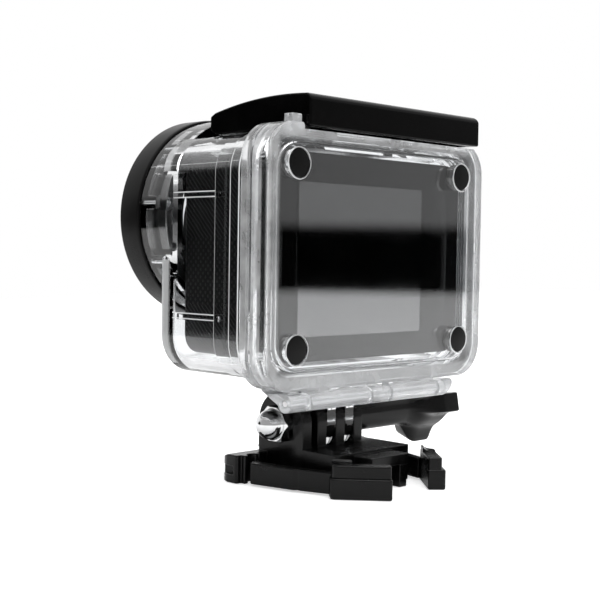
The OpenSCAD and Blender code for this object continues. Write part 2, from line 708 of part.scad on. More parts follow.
buckle_base();
buckle_arm_right();
buckle_arm_left();
acorn_nut();
thumb_knob();
thumb_bolt();
housing_shell();
port_ring();
port_glass();
port_seal();
port_baffle();
port_screws();
port_inserts();
latch_base();
latch_pin();
latch_cap();
shutter_plunger();
shutter_spring();
shutter_seal();
shutter_clip();
mode_plunger();
mode_spring();
mode_seal();
mode_clip();
hinge_pin();
door();
door_seal();
corner_pads();
camera_case();
camera_back();
camera_front_plate();
screen_glass();
display_panel();
lens_barrel();
lens_window();
lens_front_element();
lens_rear_element();
image_sensor();
sensor_board();
main_board();
heat_sink();
battery();
battery_door();
port_door();
memory_card();
speaker();
shutter_button();
mode_button();
camera_screws();
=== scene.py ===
"""Studio scene of an action camera in a clear dive housing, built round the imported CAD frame."""

import json
import math

import bmesh
import bpy
from mathutils import Matrix, Vector


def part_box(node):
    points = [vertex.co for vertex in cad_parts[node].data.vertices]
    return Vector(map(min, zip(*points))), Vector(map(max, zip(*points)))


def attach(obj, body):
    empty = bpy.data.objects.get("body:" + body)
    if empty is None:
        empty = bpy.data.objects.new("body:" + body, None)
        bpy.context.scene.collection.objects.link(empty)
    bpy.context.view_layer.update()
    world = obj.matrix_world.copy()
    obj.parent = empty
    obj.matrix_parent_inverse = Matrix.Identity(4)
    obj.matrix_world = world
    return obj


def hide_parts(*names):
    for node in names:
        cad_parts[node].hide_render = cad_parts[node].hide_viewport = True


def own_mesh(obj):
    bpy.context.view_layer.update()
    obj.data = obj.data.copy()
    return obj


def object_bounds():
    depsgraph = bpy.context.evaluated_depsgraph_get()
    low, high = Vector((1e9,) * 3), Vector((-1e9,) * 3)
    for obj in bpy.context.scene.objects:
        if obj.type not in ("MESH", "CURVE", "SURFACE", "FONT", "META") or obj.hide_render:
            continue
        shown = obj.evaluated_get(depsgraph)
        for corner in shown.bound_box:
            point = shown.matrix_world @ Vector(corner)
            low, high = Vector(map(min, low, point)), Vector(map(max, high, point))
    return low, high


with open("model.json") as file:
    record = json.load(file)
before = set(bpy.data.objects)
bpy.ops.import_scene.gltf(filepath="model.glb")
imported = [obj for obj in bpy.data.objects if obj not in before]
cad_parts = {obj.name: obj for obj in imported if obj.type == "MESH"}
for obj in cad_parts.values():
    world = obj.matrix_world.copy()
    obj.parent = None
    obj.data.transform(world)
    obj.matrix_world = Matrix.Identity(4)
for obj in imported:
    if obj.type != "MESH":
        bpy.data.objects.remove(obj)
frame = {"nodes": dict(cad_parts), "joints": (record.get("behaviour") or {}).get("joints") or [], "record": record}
CAD_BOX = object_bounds()

MM = 0.001
NODES = frame["nodes"]
RECORD = frame["record"]
SLOT_OF = {s["node"]: s["material_slot"] for s in RECORD["subparts"]}
BODY_OF = {n: body for body, names in RECORD["behaviour"]["bodies"].items() for n in names}


def centre(node):
    """Middle of a CAD node's box, in metres."""
    low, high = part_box(node)
    return (low + high) / 2


# ---- camera ----

LENS_MM = 69.72
SENSOR_MM = 36
CAMERA_DISTANCE = 0.280
CAMERA_SIDE = 0.0048
CAMERA_HEIGHT = 0.0536
CAMERA_AZIMUTH = math.radians(135)
CAMERA_PITCH = math.radians(-2.29)
CAMERA_ROLL = 0.015
CLIP = (0.01, 50)


def make_camera():
    """A view from behind and to one side, about level."""
    away = Vector((math.sin(CAMERA_AZIMUTH), -math.cos(CAMERA_AZIMUTH), 0))
    right = Vector((-away.y, away.x, 0))
    ahead = Vector((-away.x, -away.y, math.tan(CAMERA_PITCH)))
    data = bpy.data.cameras.new("camera")
    data.lens = LENS_MM
    data.sensor_width = SENSOR_MM
    data.clip_start, data.clip_end = CLIP
    camera = bpy.data.objects.new("camera", data)
    bpy.context.scene.collection.objects.link(camera)
    place = away * CAMERA_DISTANCE - right * CAMERA_SIDE
    turn = ahead.to_track_quat("-Z", "Y").to_matrix().to_4x4()
    turn = turn @ Matrix.Rotation(CAMERA_ROLL, 4, "Z")
    camera.matrix_world = Matrix.Translation((place.x, place.y, CAMERA_HEIGHT)) @ turn
    bpy.context.scene.camera = camera
    return away, right


AWAY, RIGHT = make_camera()


# ---- material helpers ----

class Shader:
    """The node tree of a new material, or of a world, with short calls for the nodes that they share."""

    def __init__(self, name=None, world=None):
        self.owner = world or bpy.data.materials.new(name)
        self.owner.use_nodes = True
        self.tree = self.owner.node_tree
        self.tree.nodes.clear()
        self.output = self.add("ShaderNodeOutputWorld" if world else "ShaderNodeOutputMaterial")

    def add(self, kind, **settings):
        node = self.tree.nodes.new(kind)
        for key, value in settings.items():
            setattr(node, key, value)
        return node

    def link(self, a, b):
        self.tree.links.new(a, b)

    def put(self, socket, value):
        """Links a socket to a socket, or sets a plain value on it."""
        if isinstance(value, bpy.types.NodeSocket):
            self.link(value, socket)
        else:
            socket.default_value = value

    def position(self, scale=(1, 1, 1), turn=(0, 0, 0)):
        coords = self.add("ShaderNodeTexCoord")
        mapping = self.add("ShaderNodeMapping")
        mapping.inputs["Scale"].default_value = scale
        mapping.inputs["Rotation"].default_value = turn
        self.link(coords.outputs["Object"], mapping.inputs["Vector"])
        return mapping.outputs["Vector"]

    def noise(self, scale, detail=3, where=None, roughness=0.5):
        node = self.add("ShaderNodeTexNoise")
        self.link(where or self.position(), node.inputs["Vector"])
        node.inputs["Scale"].default_value = scale
        node.inputs["Detail"].default_value = detail
        node.inputs["Roughness"].default_value = roughness
        return node.outputs["Fac"]

    def span(self, value, low, high, start=0, end=1, smooth=False):
        """Maps start..end of a value to low..high."""
        node = self.add("ShaderNodeMapRange")
        if smooth:
            node.interpolation_type = "SMOOTHSTEP"
        self.link(value, node.inputs["Value"])
        node.inputs["From Min"].default_value = start
        node.inputs["From Max"].default_value = end
        node.inputs["To Min"].default_value = low
        node.inputs["To Max"].default_value = high
        return node.outputs["Result"]

    def blend(self, factor, a, b):
        """Mix of two colours."""
        node = self.add("ShaderNodeMix", data_type="RGBA")
        self.put(node.inputs[0], factor)
        self.put(node.inputs[6], a)
        self.put(node.inputs[7], b)
        return node.outputs[2]

    def math(self, operation, *values):
        node = self.add("ShaderNodeMath", operation=operation)
        for socket, value in zip(node.inputs, values):
            self.put(socket, value)
        return node.outputs[0]

    def bump(self, height, strength, distance):
        node = self.add("ShaderNodeBump")
        self.link(height, node.inputs["Height"])
        node.inputs["Strength"].default_value = strength
        node.inputs["Distance"].default_value = distance
        return node.outputs["Normal"]

    def edges(self, start=0.52, end=0.6):
        """1 on outer edges, 0 on flat faces."""
        geometry = self.add("ShaderNodeNewGeometry")
        return self.span(geometry.outputs["Pointiness"], 0, 1, start, end)

    def surface(self, **inputs):
        """A Principled shader with these inputs, such as Base_Color or IOR."""
        node = self.add("ShaderNodeBsdfPrincipled")
        for key, value in inputs.items():
            self.put(node.inputs[key.replace("_", " ")], value)
        return node.outputs["BSDF"]

    def done(self, shader):
        self.link(shader, self.output.inputs["Surface"])
        return self.owner


def grey(value, warm=0.0):
    """A neutral colour, warmed or cooled a little."""
    return (value * (1 + warm), value, value * (1 - warm), 1)


def grained_plastic(name, tone, rough, grain=2600, depth=0.12, wear_and_highlight=0.5, shine=0.5, rub_and_highlight=0.03):
    """Moulded black plastic: fine spark-eroded grain, lighter along its edges, partly scuffed by use and partly
    painted highlight hairlines.
    """
    s = Shader(name)
    broad = s.noise(90, 4)
    colour = s.blend(s.span(broad, 0, 1, 0.35, 0.7), grey(tone * 0.85), grey(tone * 1.2))
    # Lighter edges: partly scuffing from use, partly painted highlight hairlines.
    worn_and_highlight = s.math("MULTIPLY", s.edges(), s.span(s.noise(420, 5), 0, wear_and_highlight, 0.42, 0.7))
    colour = s.blend(worn_and_highlight, colour, grey(tone * 3 + rub_and_highlight))
    fine = s.noise(grain, 2)
    roughness = s.math("ADD", s.span(broad, rough - 0.05, rough + 0.06, 0.3, 0.7),
                       s.span(fine, -0.03, 0.03))
    return s.done(s.surface(Base_Color=colour, Roughness=roughness, Specular_IOR_Level=shine,
                            Normal=s.bump(fine, depth, 0.0001)))


def metal(name, tone, rough, grain=(60, 900, 900), depth=0.05):
    """Bare or plated metal with faint machining marks along X."""
    s = Shader(name)
    marks = s.noise(1, 4, s.position(scale=grain))
    broad = s.noise(260, 3)
    colour = s.blend(s.span(broad, 0, 1, 0.35, 0.65), grey(tone * 0.88), grey(tone, -0.01))
    roughness = s.span(marks, rough * 0.7, rough * 1.4, 0.3, 0.7)
    return s.done(s.surface(Base_Color=colour, Metallic=1.0, Roughness=roughness,
                            Normal=s.bump(marks, depth, 0.00005)))


def clear(name, tint, ior, painted_light=None):
    """Clear moulded plastic or glass. Lamps reach what is inside it. The last argument gives the share of each
    point that is painted milky white, a painted glow that stands for light inside the plastic, as a function of
    the shader."""
    s = Shader(name)
    solid = s.math("SUBTRACT", 1, painted_light(s)) if painted_light else 1.0
    body = s.surface(Base_Color=tint, Roughness=0.0, IOR=ior, Transmission_Weight=solid)
    through = s.add("ShaderNodeBsdfTransparent")
    through.inputs["Color"].default_value = tint
    path = s.add("ShaderNodeLightPath")
    mix = s.add("ShaderNodeMixShader")
    s.link(path.outputs["Is Shadow Ray"], mix.inputs[0])
    s.link(body, mix.inputs[1])
    s.link(through.outputs[0], mix.inputs[2])
    return s.done(mix.outputs[0])


# Where the clear housing is painted milky white, a painted glow standing for light inside the plastic, in metres.
# A pair is where an effect starts and where it is full.
FRAME_START = (0.0115, 0.0118)
FRAME_PAINTED_LIGHT = 0.24
SIDE_PAINTED_LIGHT = 0.33
NOSE_PAINTED_LIGHT = 0.45
NOSE_FRONT = (-0.0178, -0.0176)
NOSE_BACK = (-0.0147, -0.0137)
NOSE_SIDE = (0.0318, 0.0322)
FLANGE_SIDE = (0.0358, 0.0362)
SHELL_SIDE = (0.0345, 0.0348)
CAVITY_SIDE = (0.0318, 0.032)
CAVITY_BACK = (0.0112, 0.0118)
TUBE_EDGE = (0.0236, 0.0238)
PAD_AT = (0.028, 0.01985)
PAD_HIGHLIGHT_BACK = (0.02, 0.0202)
WINDOW_HALF = (0.033, 0.0245)
WINDOW_FADE = 0.0015
CLEAR_BAND = (0.0183, 0.0201)
RIB_START = (-0.013, -0.0128)
RIB_END = (0.0018, 0.002)
# Painted highlight hairlines: place, half width, share
PAD_RIM_HIGHLIGHT = (0.00335, 0.00014, 0.6)
RIB_HIGHLIGHTS = [(z, 0.00016, 0.75) for z in (-0.0142, -0.0130, 0.0130, 0.0142)]
STEP_HIGHLIGHTS = [(0.0019, 0.00035, 0.9), (0.0075, 0.0003, 0.8), (0.0104, 0.00025, 0.9)]
CORNER_HIGHLIGHT = (0.0204, 0.00012, 0.35)


def moulding_painted_light(s):
    """Where the clear housing is painted milky white: a painted glow in its frames that stands for light inside
    the plastic, and painted highlight hairlines along its ribs and steps.
    """
    spot = s.add("ShaderNodeSeparateXYZ")
    s.link(s.position(), spot.inputs[0])
    x = s.math("ABSOLUTE", spot.outputs["X"])
    y = spot.outputs["Y"]
    z = s.math("SUBTRACT", spot.outputs["Z"], centre("camera_case").z)

    def line(value, middle, half, share):
        return s.span(s.math("ABSOLUTE", s.math("SUBTRACT", value, middle)), share, 0, half * 0.6, half)

    beyond = s.math("MAXIMUM", s.math("SUBTRACT", x, WINDOW_HALF[0]),
                    s.math("SUBTRACT", s.math("ABSOLUTE", z), WINDOW_HALF[1]))
    side = s.span(x, 0, 1, *FLANGE_SIDE)
    # Painted glow: the frames are painted milky white, more on the flange's sides, standing for light inside the
    # plastic.
    cloud = s.span(s.noise(160, 3), 0.7, 1.3, 0.35, 0.65)
    share = s.math("MULTIPLY", cloud, s.span(side, FRAME_PAINTED_LIGHT, SIDE_PAINTED_LIGHT))
    share = s.math("MULTIPLY", share, s.span(beyond, 0, 1, 0, WINDOW_FADE, True))
    share = s.math("MULTIPLY", share, s.span(y, 0, 1, *FRAME_START))
    middle = sum(CLEAR_BAND) / 2
    half = middle - CLEAR_BAND[0]
    band = s.math("MULTIPLY", side, line(y, middle, half, 1))
    share = s.math("MULTIPLY", share, s.math("SUBTRACT", 1, band))
    outer = s.span(x, 0, 1, *SHELL_SIDE)
    # Painted glow on the nose round the port tube.
    nose = s.math("MULTIPLY", s.span(y, 0, NOSE_PAINTED_LIGHT, *NOSE_FRONT), s.span(y, 1, 0, *NOSE_BACK))
    nose = s.math("MULTIPLY", s.span(x, 0, 1, *NOSE_SIDE), nose)
    port = s.add("ShaderNodeVectorMath", operation="DISTANCE")
    flat = s.add("ShaderNodeCombineXYZ")
    s.link(spot.outputs["X"], flat.inputs[0])
    s.link(spot.outputs["Z"], flat.inputs[2])
    s.link(flat.outputs[0], port.inputs[0])
    port.inputs[1].default_value = (centre("port_ring").x, 0, centre("port_ring").z)
    nose = s.math("MULTIPLY", nose, s.span(port.outputs["Value"], 0, 1, *TUBE_EDGE))
    share = s.math("MAXIMUM", share, nose)
    # A painted highlight ring round each pad, behind the door.
    off_x = s.math("SUBTRACT", x, PAD_AT[0])
    off_z = s.math("SUBTRACT", s.math("ABSOLUTE", z), PAD_AT[1])
    off_pad = s.math("ADD", s.math("MULTIPLY", off_x, off_x), s.math("MULTIPLY", off_z, off_z))
    rim = s.math("MULTIPLY", line(s.math("SQRT", off_pad), *PAD_RIM_HIGHLIGHT), s.span(y, 0, 1, *PAD_HIGHLIGHT_BACK))
    share = s.math("MAXIMUM", share, rim)
    # Painted highlight hairlines along the ribs, the steps and the cavity's corners.
    along = s.math("MULTIPLY", s.span(y, 0, 1, *RIB_START), s.span(y, 1, 0, *RIB_END))
    ribs = s.math("MULTIPLY", outer, along)
    for rib in RIB_HIGHLIGHTS:
        share = s.math("MAXIMUM", share, s.math("MULTIPLY", ribs, line(z, *rib)))
    for step in STEP_HIGHLIGHTS:
        share = s.math("MAXIMUM", share, s.math("MULTIPLY", outer, line(y, *step)))
    walls = s.math("MULTIPLY", s.span(x, 0, 1, *CAVITY_SIDE), s.span(y, 1, 0, *CAVITY_BACK))
    return s.math("MAXIMUM", share, s.math("MULTIPLY", walls, line(z, *CORNER_HIGHLIGHT)))


def rubber(name, tone, rough=0.55, shine=0.5):
    """Matt rubber with a fine grain."""
    s = Shader(name)
    fine = s.noise(1800, 4)
    colour = s.blend(fine, grey(tone * 0.7), grey(tone * 1.3))
    return s.done(s.surface(Base_Color=colour, Roughness=s.span(fine, rough - 0.08, rough + 0.08),
                            Specular_IOR_Level=shine, Normal=s.bump(fine, 0.1, 0.0001)))


GRIP_RIB_PITCH = 0.0013
GRIP_DOT_PITCH = 0.0017
DOT_PATCH_DROP = 0.0035
DOT_PATCH_EDGE = (0.0072, 0.0078)


def camera_grip(name):
    """Dark rubbery case with fine slanting ribs, and a patch of raised dots in the middle of each side."""
    s = Shader(name)
    spot = s.add("ShaderNodeSeparateXYZ")
    s.link(s.position(), spot.inputs[0])
    along, up = spot.outputs["Y"], spot.outputs["Z"]
    slant = s.math("ADD", s.math("ADD", along, spot.outputs["X"]), up)
    wander = s.math("MULTIPLY", s.noise(500, 2), 0.0006)
    ribs = s.math("SINE", s.math("MULTIPLY", s.math("ADD", slant, wander), 2 * math.pi / GRIP_RIB_PITCH))
    pitch = 2 * math.pi / GRIP_DOT_PITCH
    dots = s.math("MULTIPLY", s.math("SINE", s.math("MULTIPLY", along, pitch)),
                  s.math("SINE", s.math("MULTIPLY", up, pitch)))
    off_middle = s.math("ABSOLUTE", s.math("SUBTRACT", up, centre("camera_case").z - DOT_PATCH_DROP))
    patch = s.span(off_middle, 1, 0, *DOT_PATCH_EDGE)
    relief = s.add("ShaderNodeMix", data_type="FLOAT")
    s.link(patch, relief.inputs[0])
    s.link(s.span(ribs, 0, 1, 0.2, 0.9, True), relief.inputs[2])
    s.link(s.span(dots, 0, 1, 0.35, 0.6, True), relief.inputs[3])
    height = s.math("ADD", relief.outputs[0], s.math("MULTIPLY", s.noise(2600, 3), 0.25))
    colour = s.blend(relief.outputs[0], grey(0.001), grey(0.018))
    return s.done(s.surface(Base_Color=colour, Roughness=0.45, Specular_IOR_Level=0.2,
                            Normal=s.bump(height, 0.5, 0.0002)))


def dark_gloss(name, tone, ior, rough):
    """A polished dark face with faint smears."""
    s = Shader(name)
    smear = s.noise(45, 3)
    colour = s.blend(s.span(smear, 0, 1, 0.4, 0.8), grey(tone), grey(tone * 1.5))
    return s.done(s.surface(Base_Color=colour, Roughness=s.span(smear, rough, rough + 0.03, 0.3, 0.8),
                            IOR=ior))


CHIPS_PER_M = 420


def circuit_board(name):
    """Green board with a grid of small parts."""
    s = Shader(name)
    cells = s.add("ShaderNodeTexVoronoi", feature="F1", distance="CHEBYCHEV")
    s.link(s.position(), cells.inputs["Vector"])
    cells.inputs["Scale"].default_value = CHIPS_PER_M
    parts = s.span(cells.outputs["Distance"], 0, 1, 0.25, 0.3)
    colour = s.blend(parts, (0.01, 0.06, 0.03, 1), (0.02, 0.13, 0.06, 1))
    return s.done(s.surface(Base_Color=colour, Roughness=0.4))


def make_materials():
    """One material for each slot of the record."""
    return {
        "black_plastic": grained_plastic("black_plastic", 0.002, 0.22, 2800, 0.06, 0.2, 0.22, 0.02),
        "black_gloss": grained_plastic("black_gloss", 0.001, 0.18, 3200, 0.03, 0.1, 0.07, 0.01),
        "ring_black": grained_plastic("ring_black", 0.0015, 0.3, 3600, 0.04, 0.1, 0.12, 0.02),
        "button_metal": grained_plastic("button_metal", 0.015, 0.3, 3600, 0.05, 0.6),
        "chrome": metal("chrome", 0.86, 0.09),
        "steel": metal("steel", 0.7, 0.2),
        "aluminium": metal("aluminium", 0.75, 0.35),
        "clear_plastic": clear("clear_plastic", (0.96, 0.97, 0.98, 1), 1.57, moulding_painted_light),
        "port_glass": clear("port_glass", (0.97, 0.985, 0.99, 1), 1.5),
        "lens_glass": clear("lens_glass", (0.75, 0.8, 0.95, 1), 1.6),
        "seal_rubber": rubber("seal_rubber", 0.015),
        "door_seal": rubber("door_seal", 0.1, 0.4),
        "pad_rubber": rubber("pad_rubber", 0.002, 0.3, 0.15),
        "camera_body": camera_grip("camera_body"),
        "camera_bezel": dark_gloss("camera_bezel", 0.0015, 1.5, 0.03),
        "screen_glass": dark_gloss("screen_glass", 0.001, 1.5, 0.02),
        "display": dark_gloss("display", 0.0005, 2.75, 0.03),
        "lens_black": grained_plastic("lens_black", 0.006, 0.4),
        "sensor": dark_gloss("sensor", 0.02, 1.5, 0.2),
        "circuit_board": circuit_board("circuit_board"),
        "battery_wrap": grained_plastic("battery_wrap", 0.03, 0.4),
        "camera_button": grained_plastic("camera_button", 0.12, 0.35),
    }


MATERIALS = make_materials()


# ---- mesh helpers, all in millimetres until a piece is made ----

CORNER_STEPS = 10
ROUND = 72


def rounded(w, h, r, steps=CORNER_STEPS):
    """Rectangle with round corners, as (x, z) points going anticlockwise."""
    points = []
    for corner, (sx, sz) in enumerate([(1, 1), (-1, 1), (-1, -1), (1, -1)]):
        for i in range(steps + 1):
            a = math.radians(90 * (corner + i / steps))
            points.append((sx * (w / 2 - r) + r * math.cos(a), sz * (h / 2 - r) + r * math.sin(a)))
    return points


def skin(bm, rings, closed=False, caps=True):
    """Faces between rings of equal length; a closed skin joins the last ring to the first."""
    made = [[bm.verts.new(p) for p in ring] for ring in rings]
    pairs = list(zip(made, made[1:] + made[:1])) if closed else list(zip(made, made[1:]))
    for a, b in pairs:
        for i in range(len(a)):
            j = (i + 1) % len(a)
            bm.faces.new((a[i], a[j], b[j], b[i]))
    if caps and not closed:
        bm.faces.new(list(reversed(made[0])))
        bm.faces.new(made[-1])
    bmesh.ops.recalc_face_normals(bm, faces=bm.faces)
    return bm


def fillet(y, w, h, r, f, outward, steps=4):
    """Rings (y, w, h, r) that round an edge; outward is -1 at a front edge and 1 at a rear one."""
    rings = []
    for i in range(steps + 1):
        a = math.pi / 2 * i / steps
        inset = f * (1 - math.sin(a))
        rings.append((y - outward * f * (1 - math.cos(a)), w - 2 * inset, h - 2 * inset, r - inset))
    return rings if outward < 0 else rings[::-1]


def slab(rings, z, end=(0, 0)):
    """A loft of round-cornered rectangles along Y, given as (y, width, height, corner radius).

    The last one lies off the middle by end, sideways and up.
    """
    loops = [[(x, y, z + v) for x, v in rounded(w, h, r)] for y, w, h, r in rings]
    loops[-1] = [(x + end[0], y, v + end[1]) for x, y, v in loops[-1]]
    return skin(bmesh.new(), loops)


def lathe(profile, origin, axis="Y", closed=False, steps=ROUND, turn=0):
    """Revolves (radius, distance along the axis) points about an axis through origin."""
    place = {"X": lambda r, d, a: (d, r * math.cos(a), r * math.sin(a)),
             "Y": lambda r, d, a: (r * math.cos(a), d, r * math.sin(a)),
             "Z": lambda r, d, a: (r * math.cos(a), r * math.sin(a), d)}[axis]
    rings = []
    for radius, along in profile:
        rings.append([tuple(Vector(origin) + Vector(place(radius, along, turn + 2 * math.pi * i / steps)))
                      for i in range(steps)])
    return skin(bmesh.new(), rings, closed)


def button(r, low, high, f):
    """Open profile of a disc or pin with rounded edges."""
    return [(r - f, low), (r - 0.3 * f, low + 0.3 * f), (r, low + f), (r, high - f),
            (r - 0.3 * f, high - 0.3 * f), (r - f, high)]


def prism(outline, axis, low, high, f, segments=3):
    """Extrudes an outline along an axis and rounds its edges by f."""
    lift = {"X": lambda p, d: (d, p[0], p[1]), "Z": lambda p, d: (p[0], p[1], d),
            "Y": lambda p, d: (p[0], d, p[1])}[axis]
    bm = skin(bmesh.new(), [[lift(p, d) for p in outline] for d in (low, high)])
    if f:
        sharp = [e for e in bm.edges if e.calc_face_angle(0) > math.radians(25)]
        bmesh.ops.bevel(bm, geom=sharp, offset=f, segments=segments, profile=0.5, affect="EDGES",
                        clamp_overlap=True)
    return bm


def box(low, high, f=0.0):
    """A block from its two corners."""
    outline = [(low[0], low[1]), (high[0], low[1]), (high[0], high[1]), (low[0], high[1])]
    return prism(outline, "Z", low[2], high[2], f)


def arc(cx, cy, r, start, end, steps):
    """Points on an arc, in degrees."""
    return [(cx + r * math.cos(math.radians(start + (end - start) * i / steps)),
             cy + r * math.sin(math.radians(start + (end - start) * i / steps)))
            for i in range(steps + 1)]


def merged(*parts):
    """Several closed meshes in one, without cutting them."""
    whole = bmesh.new()
    for part in parts:
        mesh = bpy.data.meshes.new("part")
        part.to_mesh(mesh)
        part.free()
        whole.from_mesh(mesh)
        bpy.data.meshes.remove(mesh)
    return whole


def scratch(bm):
    """A temporary object for a boolean."""
    mesh = bpy.data.meshes.new("scratch")
    bm.to_mesh(mesh)
    bm.free()
    thing = bpy.data.objects.new("scratch", mesh)
    bpy.context.scene.collection.objects.link(thing)
    return thing


def carve(base, *steps):
    """Applies ("UNION" or "DIFFERENCE", mesh) steps to a mesh in turn."""
    body = scratch(base)
    tools = []
    for operation, tool in steps:
        other = scratch(tool)
        tools.append(other)
        cut = body.modifiers.new("cut", "BOOLEAN")
        cut.operation = operation
        cut.solver = "EXACT"
        cut.use_self = False
        cut.object = other
    shown = bpy.context.evaluated_depsgraph_get()
    result = bmesh.new()
    result.from_mesh(body.evaluated_get(shown).to_mesh())
    for thing in [body, *tools]:
        mesh = thing.data
        bpy.data.objects.remove(thing)
        bpy.data.meshes.remove(mesh)
    bmesh.ops.remove_doubles(result, verts=result.verts, dist=1e-4)
    assert result.verts, "a boolean left nothing"
    return result


# ---- pieces ----

def box_mm(node):
    """Lowest and highest corner of a CAD node, in millimetres."""
    return [[c / MM for c in corner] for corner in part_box(node)]


def joint_mm(name):
    """A point on a joint's axis, in millimetres."""
    joint = next(j for j in frame["joints"] if j["name"] == name)
    return [c / MM for c in joint["pos_m"]]


def add_piece(name, bm, node, *others, smooth=30, weighted=True, slot=None):
    """Makes a piece that stands for a CAD node, rides on its body and takes its slot."""
    bmesh.ops.scale(bm, vec=(MM, MM, MM), verts=bm.verts)
    mesh = bpy.data.meshes.new(name)
    bm.to_mesh(mesh)
    bm.free()
    slot = slot or SLOT_OF[node]
    mesh.materials.append(MATERIALS[slot])
    mesh.shade_smooth()
    mesh.set_sharp_from_angle(angle=math.radians(smooth))
    piece = bpy.data.objects.new(name, mesh)
    bpy.context.scene.collection.objects.link(piece)
    if weighted:
        even = piece.modifiers.new("even_normals", "WEIGHTED_NORMAL")
        even.keep_sharp = True
        even.weight = 100
    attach(piece, BODY_OF[node])
    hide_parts(node, *others)
    return piece


def softened(node, width, segments=3, angle=35):
    """A copy of a CAD node with its flat faces whole and its sharp edges rounded."""
    bm = bmesh.new()
    bm.from_mesh(NODES[node].data)
    bmesh.ops.scale(bm, vec=(1 / MM, 1 / MM, 1 / MM), verts=bm.verts)
    bmesh.ops.remove_doubles(bm, verts=bm.verts, dist=1e-3)
    bmesh.ops.dissolve_limit(bm, angle_limit=0.01, verts=bm.verts, edges=bm.edges)
    sharp = [e for e in bm.edges if e.calc_face_angle(0) > math.radians(angle)]
    bmesh.ops.bevel(bm, geom=sharp, offset=width, segments=segments, profile=0.5,
                    affect="EDGES", clamp_overlap=False, miter_outer="ARC")
    return bm


PIVOT_Z = joint_mm("housing_tilt")[2]
HINGE_Y, HINGE_Z = joint_mm("door_hinge")[1:]
LATCH_Y, LATCH_Z = joint_mm("latch_hinge")[1:]
CASE_LOW, CASE_HIGH = box_mm("camera_case")
BODY_Z = (CASE_LOW[2] + CASE_HIGH[2]) / 2
PORT = [centre("port_ring").x / MM, 0, centre("port_ring").z / MM]
LENS = [centre("lens_barrel").x / MM, 0, centre("lens_barrel").z / MM]
RING_LOW, RING_HIGH = box_mm("port_ring")
DOOR_PEAK = box_mm("door")[1][2]

# Outlines of the shell's stages, as (width, height, corner radius)
SHELL = (70, 54.4, 9)
STEP_1 = (71, 54.4, 9.2)
STEP_2 = (72, 55.4, 9.5)
FLANGE = (74, 57.5, 8)
CAVITY = (64, 48.4, 6)
TRAY = (66, 49.5, 6)
SHELL_FRONT = -17.5
WALL_FRONT = -14.7
STEP_1_FRONT = 1.8
STEP_2_FRONT = 7.2
FLANGE_FRONT = 11.8
FLANGE_BACK = 14.4
SHELL_TOP = BODY_Z + SHELL[1] / 2
SHELL_BOTTOM = BODY_Z - SHELL[1] / 2
DOOR_FRONT = 15.2
DOOR_BACK = 20.4
DOOR_BOTTOM = BODY_Z - FLANGE[1] / 2
DOOR_TOP = BODY_Z + FLANGE[1] / 2
WINDOW_T = 2.5
FINGER_R = 7.5
FINGER_X = (-3.1, 3.1)
FINGER_HALF = 1.5
BOLT_BORE = 2.5
KNUCKLE_R = 2
SHELL_KNUCKLES = ((25, 31), (-1.5, 4.8), (-25, -19))
DOOR_KNUCKLES = ((5.2, 24.6), (-18.6, -1.9))
BOSS_R = 6
STEM_BORE = 1.55
SPRING_BORE = 4.1
RAIL_Z = (PIVOT_Z + 24.4, PIVOT_Z + 52)
RAIL_H = 1.3
RAIL_GAP = 0.2
RAIL_FRONT = -12.9
RAIL_ROOT = 33
PORT_BORE = 17.5
TUBE_R = 23.5
TUBE_BACK = -13
SCREW_CIRCLE = 21
SCREW_COUNT = 10
SCREW_PHASE = -0.22
TOP_PLUNGER = centre("shutter_plunger") / MM
FRONT_PLUNGER = centre("mode_plunger") / MM
TOP_AXIS = (TOP_PLUNGER.x, TOP_PLUNGER.y, 0)
FRONT_AXIS = (FRONT_PLUNGER.x, 0, FRONT_PLUNGER.z)
PAD_R = 3.2
PAD_SPOTS = [(x, z) for x in (-28, 28) for z in (PIVOT_Z + 19.3, PIVOT_Z + 59)]
# The door's groove for the seal, and the seal in it
GROOVE_DEPTH = 15.9
GROOVE_OUTER = (72.8, 56.3, 7.4)
GROOVE_INNER = (68, 51.5, 7)
SEAL_OUTER = (72.6, 56.1, 7.3)
SEAL_INNER = (68.2, 51.7, 7.1)
SEAL_LIP = ((72, 55.5, 7), (68.8, 52.3, 7.3))
SEAL_Y = (14.55, 14.7, 15.85)
PIN_LEFT = box_mm("hinge_pin")[0][0]
LATCH_LEFT = box_mm("latch_cap")[0][0]
LATCH_RIGHT = box_mm("latch_cap")[1][0]


def at(y, stage, inset=0):
    """One ring of a slab: a stage's outline at y, drawn in by inset."""
    w, h, r = stage
    return (y, w - 2 * inset, h - 2 * inset, r - inset)


def ledge(y, small, large, f=0.3):
    """Rings that step out from one stage to a larger one, with a broken edge."""
    return [at(y, small), at(y, large, f), at(y + f, large)]


def round_port():
    """Places of the port's screws."""
    for i in range(SCREW_COUNT):
        a = -2 * math.pi * (i + SCREW_PHASE) / SCREW_COUNT
        yield (PORT[0] + SCREW_CIRCLE * math.cos(a), 0, PORT[2] + SCREW_CIRCLE * math.sin(a))


def under_latch(y0, y1):
    """The room that the latch takes from the top edge of the flange or the door."""
    return box((LATCH_LEFT - 0.6, y0, SHELL_TOP), (LATCH_RIGHT + 0.5, y1, DOOR_TOP + 1))


def shell_finger(x):
    """One of the two mounting fingers under the shell."""
    outline = ([(FINGER_R, SHELL_BOTTOM + 1)] + arc(0, PIVOT_Z, FINGER_R, 0, -180, 28)
               + [(-FINGER_R, SHELL_BOTTOM + 1)])
    return prism(outline, "X", x - FINGER_HALF, x + FINGER_HALF, 0.35)


